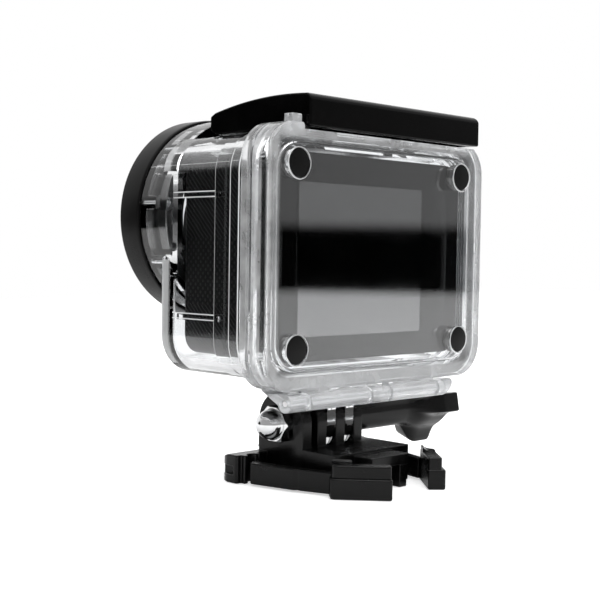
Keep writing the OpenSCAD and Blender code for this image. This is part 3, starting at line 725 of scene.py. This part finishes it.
def shell_knuckle(x0, x1):
    """A hinge knuckle on a web below the flange."""
    outline = ([(FLANGE_FRONT + 1, DOOR_BOTTOM + 1), (FLANGE_FRONT + 1, DOOR_BOTTOM - 0.1)]
               + arc(HINGE_Y, HINGE_Z, KNUCKLE_R, 195, 455, 26)
               + [(15.5, HINGE_Z + 1.75), (FLANGE_BACK, DOOR_BOTTOM - 0.4),
                  (FLANGE_BACK, DOOR_BOTTOM + 1)])
    return prism(outline, "X", x0, x1, 0.15)


def far_end():
    """What is cut from the far knuckle so that its outer end slopes."""
    x, z = PIN_LEFT, HINGE_Z
    outline = [(x, z - 3), (x - 4.2, z + 2.2), (-40, z + 2.2), (-40, z - 3)]
    return prism(outline, "Y", HINGE_Y - 4, HINGE_Y + 3, 0)


def door_knuckle(x0, x1):
    """A hinge knuckle on the door's lower edge."""
    outline = ([(18.4, DOOR_BOTTOM + 1)] + arc(HINGE_Y, HINGE_Z, KNUCKLE_R, 143, 438, 28)
               + [(DOOR_BACK, DOOR_BOTTOM + 1)])
    return prism(outline, "X", x0, x1, 0.25)


def make_shell():
    """The shell in three steps, with its port tube, bosses, fingers, knuckles and inner rails."""
    rings = fillet(SHELL_FRONT, *SHELL, 1.2, -1) + ledge(STEP_1_FRONT, SHELL, STEP_1)
    rings += ledge(STEP_2_FRONT, STEP_1, STEP_2) + ledge(FLANGE_FRONT, STEP_2, FLANGE)
    rings += fillet(FLANGE_BACK, *FLANGE, 0.6, 1)
    rings += [at(FLANGE_BACK, TRAY, -0.2), at(FLANGE_BACK - 0.2, TRAY), at(FLANGE_FRONT, TRAY)]
    rings += [at(FLANGE_FRONT, CAVITY)] + fillet(WALL_FRONT, *CAVITY, 1, -1)[::-1]
    tube = lathe(button(TUBE_R, RING_HIGH[1], TUBE_BACK, 0.4), PORT)
    fingers = [shell_finger(x) for x in FINGER_X]
    knuckles = [shell_knuckle(*k) for k in SHELL_KNUCKLES]
    bosses = [lathe(button(BOSS_R, SHELL_TOP - 1, SHELL_TOP + 1.6, 0.4), TOP_AXIS, "Z"),
              lathe(button(BOSS_R, SHELL_FRONT - 1.6, SHELL_FRONT + 1, 0.4), FRONT_AXIS)]
    near = CASE_HIGH[0] + RAIL_GAP
    foot = [(near, RAIL_FRONT), (RAIL_ROOT, RAIL_FRONT), (RAIL_ROOT, 3.2), (near, 0.9)]
    rails = [prism([(s * x, y) for x, y in foot], "Z", z, z + RAIL_H, 0) for s in (-1, 1) for z in RAIL_Z]
    bores = [lathe([(PORT_BORE, -25), (PORT_BORE, -11)], PORT),
             lathe([(BOLT_BORE, -20), (BOLT_BORE, 20)], (0, 0, PIVOT_Z), "X", steps=40),
             lathe([(0.8, PIN_LEFT), (0.8, 40)], (0, HINGE_Y, HINGE_Z), "X", steps=24),
             lathe([(STEM_BORE, 73), (STEM_BORE, 78.6), (SPRING_BORE, 78.6), (SPRING_BORE, 84)],
                   TOP_AXIS, "Z"),
             lathe([(SPRING_BORE, -21), (SPRING_BORE, -16.1), (STEM_BORE, -16.1), (STEM_BORE, -13)],
                   FRONT_AXIS),
             under_latch(FLANGE_FRONT - 0.1, FLANGE_BACK + 1)]
    bores += [lathe([(1.5, -25), (1.5, -17.7)], p, steps=24) for p in round_port()]
    bm = carve(slab(rings, BODY_Z), ("UNION", merged(tube, *fingers, *knuckles, *bosses, *rails)),
               ("DIFFERENCE", far_end()), ("DIFFERENCE", merged(*bores)))
    add_piece("housing_body", bm, "housing_shell")


def make_door():
    """The door with its window, groove, pad rims, knuckles and finger tab."""
    groove = [at(DOOR_FRONT, GROOVE_OUTER), at(GROOVE_DEPTH, GROOVE_OUTER),
              at(GROOVE_DEPTH, GROOVE_INNER), at(DOOR_FRONT, GROOVE_INNER)]
    rings = fillet(DOOR_BACK, *FLANGE, 0.9, 1)[::-1]
    rings += [at(DOOR_FRONT + 0.3, FLANGE), at(DOOR_FRONT, FLANGE, 0.3)] + groove
    rings += [at(DOOR_FRONT, TRAY, -0.2), at(DOOR_FRONT + 0.2, TRAY)]
    rings += fillet(DOOR_BACK - WINDOW_T, *TRAY, 0.8, 1)
    rims = [lathe(button(PAD_R + 0.25, DOOR_BACK - 0.5, DOOR_BACK + 0.2, 0.08), (x, 0, z), steps=48)
            for x, z in PAD_SPOTS]
    knuckles = [door_knuckle(*k) for k in DOOR_KNUCKLES]
    hook = box((26.6, 17.1, DOOR_TOP - 2), (29.5, 19.7, DOOR_PEAK), 0.2)
    bores = [lathe([(PAD_R, 15), (PAD_R, 22)], (x, 0, z), steps=48) for x, z in PAD_SPOTS]
    bores += [lathe([(0.85, -40), (0.85, 40)], (0, HINGE_Y, HINGE_Z), "X", steps=24),
              under_latch(DOOR_FRONT - 1, DOOR_BACK + 1)]
    bm = carve(slab(rings, BODY_Z), ("UNION", merged(*rims, *knuckles, hook)),
               ("DIFFERENCE", merged(*bores)))
    add_piece("door_panel", bm, "door")


def make_seal():
    """The seal in the door's groove, cut off where the latch passes."""
    lip, low, high = SEAL_Y
    section = [at(lip, SEAL_LIP[0]), at(low, SEAL_OUTER), at(high, SEAL_OUTER),
               at(high, SEAL_INNER), at(low, SEAL_INNER), at(lip, SEAL_LIP[1])]
    loops = [[(x, y, BODY_Z + v) for x, v in rounded(w, h, r)] for y, w, h, r in section]
    bm = carve(skin(bmesh.new(), loops, closed=True),
               ("DIFFERENCE", box((-40, 14, SHELL_TOP - 0.6), (40, 21, DOOR_TOP + 1))))
    add_piece("door_gasket", bm, "door_seal")


def make_pads():
    """Four rubber pads through the door's corners."""
    profile = [(0.01, 16.62), (2.9, 16.62), (3.12, 16.9), (3.14, 20.3), (2.95, 20.5),
               (2.0, 20.58), (0.01, 20.6)]
    add_piece("corner_bumpers", merged(*[lathe(profile, (x, 0, z), steps=48) for x, z in PAD_SPOTS]),
              "corner_pads")


PANE_R = 19.2
PANE_Y = (-26.75, -24.65)
GASKET_FRONT = -24.55
GASKET_BORE = 17.4
SLEEVE_BORE = 16.3
SLEEVE_R = 17.25
SLEEVE_Y = (-24.5, -13.6)


def make_port():
    """Ring, window, seal, light baffle, screws and inserts of the lens port."""
    rear = RING_HIGH[1]
    front = RING_LOW[1]
    r = RING_HIGH[0] - PORT[0]
    profile = [(19.4, rear), (r - 0.7, rear), (r - 0.2, rear - 0.2), (r, rear - 0.7), (r, front + 1.0),
               (r - 0.3, front + 0.35), (r - 1, front), (20.5, front), (20.2, front + 0.1),
               (PORT_BORE, front + 2.2), (PORT_BORE, -26.8), (19.4, -26.8)]
    holes = [lathe([(1.65, front - 1), (1.65, front + 1.6)], p, steps=24) for p in round_port()]
    bm = carve(lathe(profile, PORT, closed=True, steps=128), ("DIFFERENCE", merged(*holes)))
    add_piece("port_bezel", bm, "port_ring")
    add_piece("port_pane", lathe(button(PANE_R, *PANE_Y, 0.25), PORT, steps=96), "port_glass")
    gasket = [(GASKET_BORE, GASKET_FRONT), (PANE_R, GASKET_FRONT), (PANE_R, rear - 0.05),
              (GASKET_BORE, rear - 0.05)]
    add_piece("port_gasket", lathe(gasket, PORT, closed=True, steps=96), "port_seal")
    low, high = SLEEVE_Y
    sleeve = [(SLEEVE_BORE, low), (SLEEVE_R, low), (SLEEVE_R, high - 0.2), (SLEEVE_R - 0.2, high),
              (SLEEVE_BORE + 0.2, high), (SLEEVE_BORE, high - 0.2)]
    add_piece("port_sleeve", lathe(sleeve, PORT, closed=True, steps=96), "port_baffle")
    heads = []
    sleeves = []
    for p in round_port():
        head = lathe(button(1.5, front + 0.3, front + 1.5, 0.2), p, steps=32)
        socket = lathe([(0.75, front), (0.75, front + 0.95)], p, steps=6)
        heads.append(carve(head, ("DIFFERENCE", socket)))
        heads.append(lathe([(0.78, front + 1.45), (0.78, SHELL_FRONT - 0.7)], p, steps=20))
        sleeves.append(lathe([(0.82, rear + 0.05), (1.42, rear + 0.05), (1.42, SHELL_FRONT - 0.3),
                              (0.82, SHELL_FRONT - 0.3)], p, closed=True, steps=32))
    add_piece("port_bolts", merged(*heads), "port_screws")
    add_piece("port_sleeves", merged(*sleeves), "port_inserts")


def crown(y):
    """Height of the latch's crowned top."""
    return box_mm("latch_cap")[1][2] - 0.005 * (y - 12.6) ** 2


BAR_FRONT = 3.6
CREST_STEP = 1.66
NOSE_R = 2.8
LATCH_WALL = 2
LATCH_EDGE = 0.45


def make_latch():
    """A crowned bar over the door and flange, and an arm that reaches forward to the pin."""
    bottom = SHELL_TOP + 0.6
    rear = box_mm("latch_cap")[1][1]
    crest = [(BAR_FRONT + CREST_STEP * i, crown(BAR_FRONT + CREST_STEP * i)) for i in range(11)]
    tail = [(21.1, crown(21) - 0.4), (rear, crown(21) - 1.2), (rear, bottom)]
    front = box_mm("latch_cap")[0][1]
    nose = arc(LATCH_Y, LATCH_Z, NOSE_R, 270, 212, 6) + [(front, LATCH_Z - 1)]
    nose += arc(front + 0.8, crown(front) - 0.9, 0.8, 180, 100, 5)
    brow = [(front + 1.5 * i, crown(front + 1.5 * i)) for i in range(1, 10)]
    bar = prism([(BAR_FRONT, bottom)] + crest + tail, "X", LATCH_LEFT, 5, LATCH_EDGE)
    arm = prism([(4, bottom)] + nose + brow + crest + tail, "X", 4, LATCH_RIGHT, LATCH_EDGE)
    room = box((8.5, -12, SHELL_TOP - 1), (21.5, 1.6, LATCH_Z + 2))
    hollow = box((LATCH_LEFT + LATCH_WALL, BAR_FRONT + LATCH_WALL, SHELL_TOP - 1),
                 (LATCH_RIGHT - LATCH_WALL, rear - LATCH_WALL, 85.4), 0.6)
    bore = lathe([(0.85, 4.4), (0.85, 25.6)], (0, LATCH_Y, LATCH_Z), "X", steps=24)
    bm = carve(arm, ("UNION", bar), ("DIFFERENCE", merged(room, hollow)), ("DIFFERENCE", bore))
    add_piece("latch_lever", bm, "latch_cap")
    add_piece("latch_mount", softened("latch_base", 0.15), "latch_base")


KNOB_CORE = 5.3
KNOB_REACH = 9.6
LOBE_HALF = 2.6
LOBE_ANGLES = (10, 130, 250)
LOBE_CORNER = 0.35
HOLLOW_R = 1.3
KNOB_FLARE = -30
STEM_R = 4.2


def knob_radius(a):
    """Polar radius of the knob: three flat-ended lobes with hollow flanks between them."""
    off = min(abs((a - math.radians(lobe) + math.pi) % (2 * math.pi) - math.pi) for lobe in LOBE_ANGLES)
    flat = KNOB_REACH / math.cos(off)
    flank = LOBE_HALF / max(math.sin(off), 0.05)
    lobe = -LOBE_CORNER * math.log(math.exp(-flat / LOBE_CORNER) + math.exp(-flank / LOBE_CORNER))
    return HOLLOW_R * math.log(math.exp(KNOB_CORE / HOLLOW_R) + math.exp(lobe / HOLLOW_R)) - 0.15


def make_knob():
    """Thumb knob: a round stem that flares into three lobes, with a dished end."""
    low, high = box_mm("thumb_knob")
    steps = 180
    stem = [(high[0], 4.6), (high[0] - 0.3, 4.9), (high[0] - 2.7, 4.9), (high[0] - 3.2, STEM_R),
            (KNOB_FLARE + 1, STEM_R), (KNOB_FLARE, 4.25)]
    # Share of the lobed outline at each place along the head
    head = [(KNOB_FLARE - 1 - i, share) for i, share in enumerate((0.06, 0.2, 0.4, 0.6, 0.77, 0.89, 0.96, 1))]
    head += [(low[0] + 0.6, 1), (low[0] + 0.2, 0.97), (low[0], 0.91)]
    rings = []
    for x, r in stem + head:
        ring = []
        for i in range(steps):
            a = 2 * math.pi * i / steps
            radius = r if (x, r) in stem else 4.3 + (min(knob_radius(a), 9.9) - 4.3) * r
            ring.append((x, radius * math.cos(a), PIVOT_Z + radius * math.sin(a)))
        rings.append(ring)
    dish = lathe([(3.4, low[0] - 1), (3.2, low[0] + 0.5)], (0, 0, PIVOT_Z), "X", steps=48)
    add_piece("knob_grip", carve(skin(bmesh.new(), rings), ("DIFFERENCE", dish)), "thumb_knob")


NUT_CORNER_R = 4.62
DOME_R = 3.5


def make_nut():
    """Acorn nut: a chamfered hexagon under a dome."""
    x0 = box_mm("acorn_nut")[0][0]
    corners = arc(0, PIVOT_Z, NUT_CORNER_R, 0, 300, 5)
    hexagon = prism(corners, "X", x0, x0 + 4, 0.12)
    chamfer = lathe([(4.75, x0 - 1), (4.75, x0 + 3.2), (4.0, x0 + 4.05), (0.01, x0 + 4.1)],
                    (0, 0, PIVOT_Z), "X")
    dome = [(3.75, x0 + 3.5), (3.75, x0 + 4.25), (3.6, x0 + 4.5)]
    dome += arc(0, x0 + 4.6, DOME_R, 0, 70, 7) + arc(0, x0 + 4.6, DOME_R, 80, 88, 1)
    bm = carve(hexagon, ("INTERSECT", chamfer), ("UNION", lathe(dome, (0, 0, PIVOT_Z), "X")))
    add_piece("dome_nut", bm, "acorn_nut")


LEAF_Z = (0.4, 5.3)
FOOT_Z = (0, 4.6)
UPPER_Z = (4, 7.4)
HORN_Z = (6.8, 8.3)
SWEEP_R = 2.5
SWEEP_AT = (13.6, 24.2, 9.9)
SWEEP_TURN = math.radians(-42.5)


def make_arm(side):
    """A spring arm of the buckle with its pinch tab; side is 1 or -1."""
    leaf = prism([(17.2, -2.6), (19.4, -2.6), (21.4, -0.7), (18.9, 11), (18.2, 11.3), (18.2, 12.4),
                  (15.9, 19.2), (15.4, 20.6), (13.6, 20.2), (15.8, 11.6), (18.2, 0.2)], "Z", *LEAF_Z, 0.3)
    foot = prism([(18.2, 21.6), (17.8, 22.6), (9.9, 31.5), (9.2, 31.8), (6.3, 29.2), (14.9, 19.6),
                  (16, 19.1)], "Z", *FOOT_Z, 0.45)
    upper = prism([(17.1, 21.1), (17, 22.2), (9.4, 30.8), (8.6, 31), (6.5, 29.1), (14.9, 19.7),
                   (15.8, 19.4)], "Z", *UPPER_Z, 0.45)
    horn = prism([(17, 21.1), (16.9, 22.1), (14.6, 24.7), (12.4, 22.6), (15, 19.8), (15.7, 19.5)],
                 "Z", *HORN_Z, 0.35)
    sweep = lathe([(SWEEP_R, -6), (SWEEP_R, 6)], (0, 0, 0), "X", steps=40)
    bmesh.ops.rotate(sweep, matrix=Matrix.Rotation(SWEEP_TURN, 3, "Z"), verts=sweep.verts)
    bmesh.ops.translate(sweep, vec=SWEEP_AT, verts=sweep.verts)
    horn = carve(horn, ("DIFFERENCE", sweep))
    bm = carve(leaf, ("UNION", foot), ("UNION", upper), ("UNION", horn))
    if side < 0:
        bmesh.ops.scale(bm, vec=(-1, 1, 1), verts=bm.verts)
        bmesh.ops.reverse_faces(bm, faces=bm.faces)
    name = "right" if side > 0 else "left"
    add_piece("spring_arm_" + name, bm, "buckle_arm_" + name)


SPRING_TURNS = 3
SPRING_R = 2.9
SPRING_WIRE = 0.3


def coil(height):
    """A coil spring that stands on z = 0."""
    steps = 36 * SPRING_TURNS
    rings = []
    for i in range(steps + 1):
        a = 2 * math.pi * SPRING_TURNS * i / steps
        z = SPRING_WIRE + (height - 2 * SPRING_WIRE) * i / steps
        ring = []
        for k in range(10):
            b = 2 * math.pi * k / 10
            r = SPRING_R + SPRING_WIRE * math.cos(b)
            ring.append((r * math.cos(a), r * math.sin(a), z + SPRING_WIRE * math.sin(b)))
        rings.append(ring)
    return skin(bmesh.new(), rings)


def make_springs():
    """The plungers' coil springs, each on a mesh of its own."""
    low, high = box_mm("shutter_spring")
    height = high[2] - low[2]
    bm = coil(height)
    bmesh.ops.translate(bm, vec=(TOP_PLUNGER.x, TOP_PLUNGER.y, low[2]), verts=bm.verts)
    spring = add_piece("shutter_coil", bm, "shutter_spring", weighted=False)
    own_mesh(spring)
    low, high = box_mm("mode_spring")
    bm = coil(height)
    bmesh.ops.rotate(bm, matrix=Matrix.Rotation(math.radians(90), 3, "X"), verts=bm.verts)
    bmesh.ops.translate(bm, vec=(FRONT_PLUNGER.x, high[1], FRONT_PLUNGER.z), verts=bm.verts)
    spring = add_piece("mode_coil", bm, "mode_spring", weighted=False)
    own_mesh(spring)


CASE_WALL = 1.9
SCREW_X = 25.5
SCREW_Z = 18.6
LENS_HOLE = 11
SHUTTER_HOLE = 4.6
MODE_HOLE = 3.6
BATTERY_HOLE = ((-20, -9), (10, 9))
GLASS_HOLE = (52, 39.6, 2)


def make_camera_body():
    """The camera's hollow case with its openings and screw posts, and its glossy back."""
    front, back = CASE_LOW[1], CASE_HIGH[1]
    size = (CASE_HIGH[0] - CASE_LOW[0], CASE_HIGH[2] - CASE_LOW[2], 5)
    rings = fillet(front, *size, 1.2, -1, 5) + fillet(back, *size, 0.25, 1)
    w, h, _ = size
    inside = slab([at(front + CASE_WALL, (w - 2 * CASE_WALL, h - 2 * CASE_WALL, 2.5)),
                   at(back + 1, (w - 2 * CASE_WALL, h - 2 * CASE_WALL, 2.5))], BODY_Z)
    base = CASE_LOW[2]
    openings = [lathe([(LENS_HOLE, front - 1), (LENS_HOLE, front + 4)], LENS),
                lathe([(SHUTTER_HOLE, CASE_HIGH[2] - 3), (SHUTTER_HOLE, CASE_HIGH[2] + 1)], TOP_AXIS, "Z"),
                lathe([(MODE_HOLE, front - 1), (MODE_HOLE, front + 3)], FRONT_AXIS),
                box((*BATTERY_HOLE[0], base - 1), (*BATTERY_HOLE[1], base + 3)),
                box((-w / 2 - 1, -7, BODY_Z - 14), (-w / 2 + 3, 8, BODY_Z + 12))]
    posts = []
    for x in (-SCREW_X, SCREW_X):
        for z in (BODY_Z - SCREW_Z, BODY_Z + SCREW_Z):
            rib = box((min(x, math.copysign(w / 2 - 1, x)), 8, z - 0.8),
                      (max(x, math.copysign(w / 2 - 1, x)), back - 0.1, z + 0.8))
            bore = lathe([(0.75, 9), (0.75, back + 1)], (x, 0, z), steps=20)
            posts.append(carve(lathe([(1.5, 8), (1.5, back - 0.1)], (x, 0, z), steps=32), ("UNION", rib),
                               ("DIFFERENCE", bore)))
    bm = carve(slab(rings, BODY_Z), ("DIFFERENCE", inside), ("DIFFERENCE", merged(*openings)),
               ("UNION", merged(*posts)))
    add_piece("camera_shell", bm, "camera_case")
    rear = box_mm("camera_back")[1][1]
    rings = [at(back + 0.05, size, 0.4), at(back + 0.3, size, 0.12)]
    rings += fillet(rear, *size, 0.5, 1) + [at(rear, GLASS_HOLE), at(rear - 0.9, GLASS_HOLE)]
    add_piece("camera_rear", slab(rings, BODY_Z), "camera_back")


DISPLAY = (41.2, 33.6, 0.6)
DISPLAY_OFF = (4.6, -0.5)


def make_screen():
    """Cover glass in one sheet: a black border round the darker, more mirror-like display."""
    low, high = box_mm("screen_glass")
    size = (high[0] - low[0], high[2] - low[2], 1.9)
    rings = [at(low[1], size), at(high[1] - 0.12, size), at(high[1] - 0.03, size, 0.04),
             at(high[1], size, 0.14), at(high[1], DISPLAY)]
    bm = slab(rings, BODY_Z, DISPLAY_OFF)
    piece = add_piece("screen_cover", bm, "screen_glass", weighted=False, smooth=20)
    piece.data.materials.append(MATERIALS["display"])
    widest = max(piece.data.polygons, key=lambda f: (round(f.center.y, 5), len(f.vertices)))
    widest.material_index = 1


def make_hinge_rod():
    """The door's hinge pin."""
    low, high = box_mm("hinge_pin")
    rod = lathe(button(0.74, low[0] + 0.1, high[0] - 0.1, 0.15), (0, HINGE_Y, HINGE_Z), "X", steps=32)
    add_piece("hinge_rod", rod, "hinge_pin")


def dress_cad_nodes():
    """Every CAD node gets its slot's material."""
    for name, node in NODES.items():
        node.data.materials.clear()
        node.data.materials.append(MATERIALS[SLOT_OF[name]])


dress_cad_nodes()
make_shell()
make_door()
make_seal()
make_pads()
make_port()
make_latch()
make_knob()
make_nut()
make_arm(1)
make_arm(-1)
make_springs()
make_camera_body()
make_screen()
make_hinge_rod()
add_piece("buckle_body", softened("buckle_base", 0.25), "buckle_base")


# ---- studio ----

FLOOR_INNER = 1.1
FLOOR_OUTER = 1.7
FLOOR_CUT = 2.0
BACKDROP = 1.0
ROOM = 0.4
OVERHEAD = 0.9
SIDE_WALL = 0.45
FLOOR_GLOW = 0.05
FLOOR_LIFT = 0.5
FLOOR_DROP = 0.0001
LENS_LOBE = (0.955, 0.985)
SCREEN_LOBE = (0.9, 0.965)
LOBE_TURN = 0.08
SUN_POWER = 1.25
FILL_AT = RIGHT * 0.5 + AWAY * 0.5 + Vector((0, 0, 0.6))
WALL_FOOT = (math.sin(math.radians(1.0)), math.sin(math.radians(1.8)))


def stage_disc(name, radius, z, material):
    """A flat round piece of the stage."""
    bm = bmesh.new()
    bmesh.ops.create_circle(bm, cap_ends=True, segments=96, radius=radius)
    bmesh.ops.translate(bm, vec=(0, 0, z), verts=bm.verts)
    mesh = bpy.data.meshes.new(name)
    bm.to_mesh(mesh)
    bm.free()
    mesh.materials.append(material)
    disc = bpy.data.objects.new(name, mesh)
    bpy.context.scene.collection.objects.link(disc)


def make_floor():
    """A pale round table top whose rim fades out."""
    s = Shader("floor")
    tone = s.span(s.noise(6, 2), 0.94, 0.96)
    colour = s.add("ShaderNodeCombineColor")
    for channel in colour.inputs:
        s.link(tone, channel)
    seen = s.math("MULTIPLY", s.add("ShaderNodeLightPath").outputs["Is Camera Ray"], FLOOR_LIFT)
    paper = s.surface(Base_Color=colour.outputs[0], Roughness=0.9, Specular_IOR_Level=0.0,
                      Emission_Color=(1, 1, 1, 1), Emission_Strength=s.math("ADD", seen, FLOOR_GLOW))
    reach = s.add("ShaderNodeVectorMath", operation="LENGTH")
    s.link(s.position(), reach.inputs[0])
    sideways = s.add("ShaderNodeVectorMath", operation="DOT_PRODUCT")
    s.link(s.position(), sideways.inputs[0])
    sideways.inputs[1].default_value = -RIGHT
    cut = s.math("MULTIPLY", s.math("MAXIMUM", sideways.outputs["Value"], 0), FLOOR_CUT)
    distance = s.math("ADD", reach.outputs["Value"], cut)
    fade = s.span(distance, 0, 1, FLOOR_INNER, FLOOR_OUTER, True)
    mix = s.add("ShaderNodeMixShader")
    s.link(fade, mix.inputs[0])
    s.link(paper, mix.inputs[1])
    s.link(s.add("ShaderNodeBsdfTransparent").outputs[0], mix.inputs[2])
    stage_disc("floor", FLOOR_OUTER, -FLOOR_DROP, s.done(mix.outputs[0]))


def softbox(name, offset, size_x, size_y, power):
    """An area light at an offset from the object's middle, aimed at it."""
    middle = (CAD_BOX[0] + CAD_BOX[1]) / 2
    data = bpy.data.lights.new(name, "AREA")
    data.shape = "RECTANGLE"
    data.size = size_x
    data.size_y = size_y
    data.energy = power
    lamp = bpy.data.objects.new(name, data)
    bpy.context.scene.collection.objects.link(lamp)
    aim = (-offset).to_track_quat("-Z", "Y").to_matrix().to_4x4()
    lamp.matrix_world = Matrix.Translation(middle + offset) @ aim


def make_world():
    """A grey room with a white backdrop, a soft ceiling and two dark sides. The camera sees it white."""
    world = bpy.data.worlds.new("studio")
    bpy.context.scene.world = world
    s = Shader(world=world)
    coords = s.add("ShaderNodeTexCoord")

    def towards(direction):
        dot = s.add("ShaderNodeVectorMath", operation="DOT_PRODUCT")
        s.link(coords.outputs["Generated"], dot.inputs[0])
        dot.inputs[1].default_value = direction
        return dot.outputs["Value"]

    up = towards((0, 0, 1))
    room = s.span(towards(-AWAY), ROOM, BACKDROP, -0.35, 0.45, True)
    lens_side = s.span(towards((-RIGHT - AWAY * LOBE_TURN).normalized()), 1, 0, *LENS_LOBE, True)
    screen_side = s.span(towards((RIGHT - AWAY * LOBE_TURN).normalized()), 0, 1, *SCREEN_LOBE, True)
    wall = s.math("MULTIPLY", s.span(up, 0, SIDE_WALL, *WALL_FOOT, True), screen_side)
    open_room = s.math("MULTIPLY", room, s.math("SUBTRACT", lens_side, screen_side))
    ceiling = s.span(up, 0, OVERHEAD, 0.5, 0.8, True)
    path = s.add("ShaderNodeLightPath")
    light = s.math("MAXIMUM", s.math("MAXIMUM", open_room, ceiling),
                   s.math("MAXIMUM", wall, path.outputs["Is Camera Ray"]))
    background = s.add("ShaderNodeBackground")
    background.inputs["Color"].default_value = (1, 1, 1, 1)
    s.link(light, background.inputs["Strength"])
    s.done(background.outputs[0])


def make_sun():
    """Overhead light of even strength all over the table."""
    data = bpy.data.lights.new("overhead", "SUN")
    data.energy = SUN_POWER
    data.angle = math.radians(50)
    sun = bpy.data.objects.new("overhead", data)
    sun.rotation_euler = (math.radians(-12), math.radians(10), 0)
    bpy.context.scene.collection.objects.link(sun)


def make_studio():
    """Floor, room, lamps and a plain view transform."""
    make_floor()
    make_world()
    make_sun()
    softbox("fill_box", FILL_AT, 0.4, 0.4, 1.0)
    view = bpy.context.scene.view_settings
    view.view_transform = "Standard"
    view.look = "None"


make_studio()
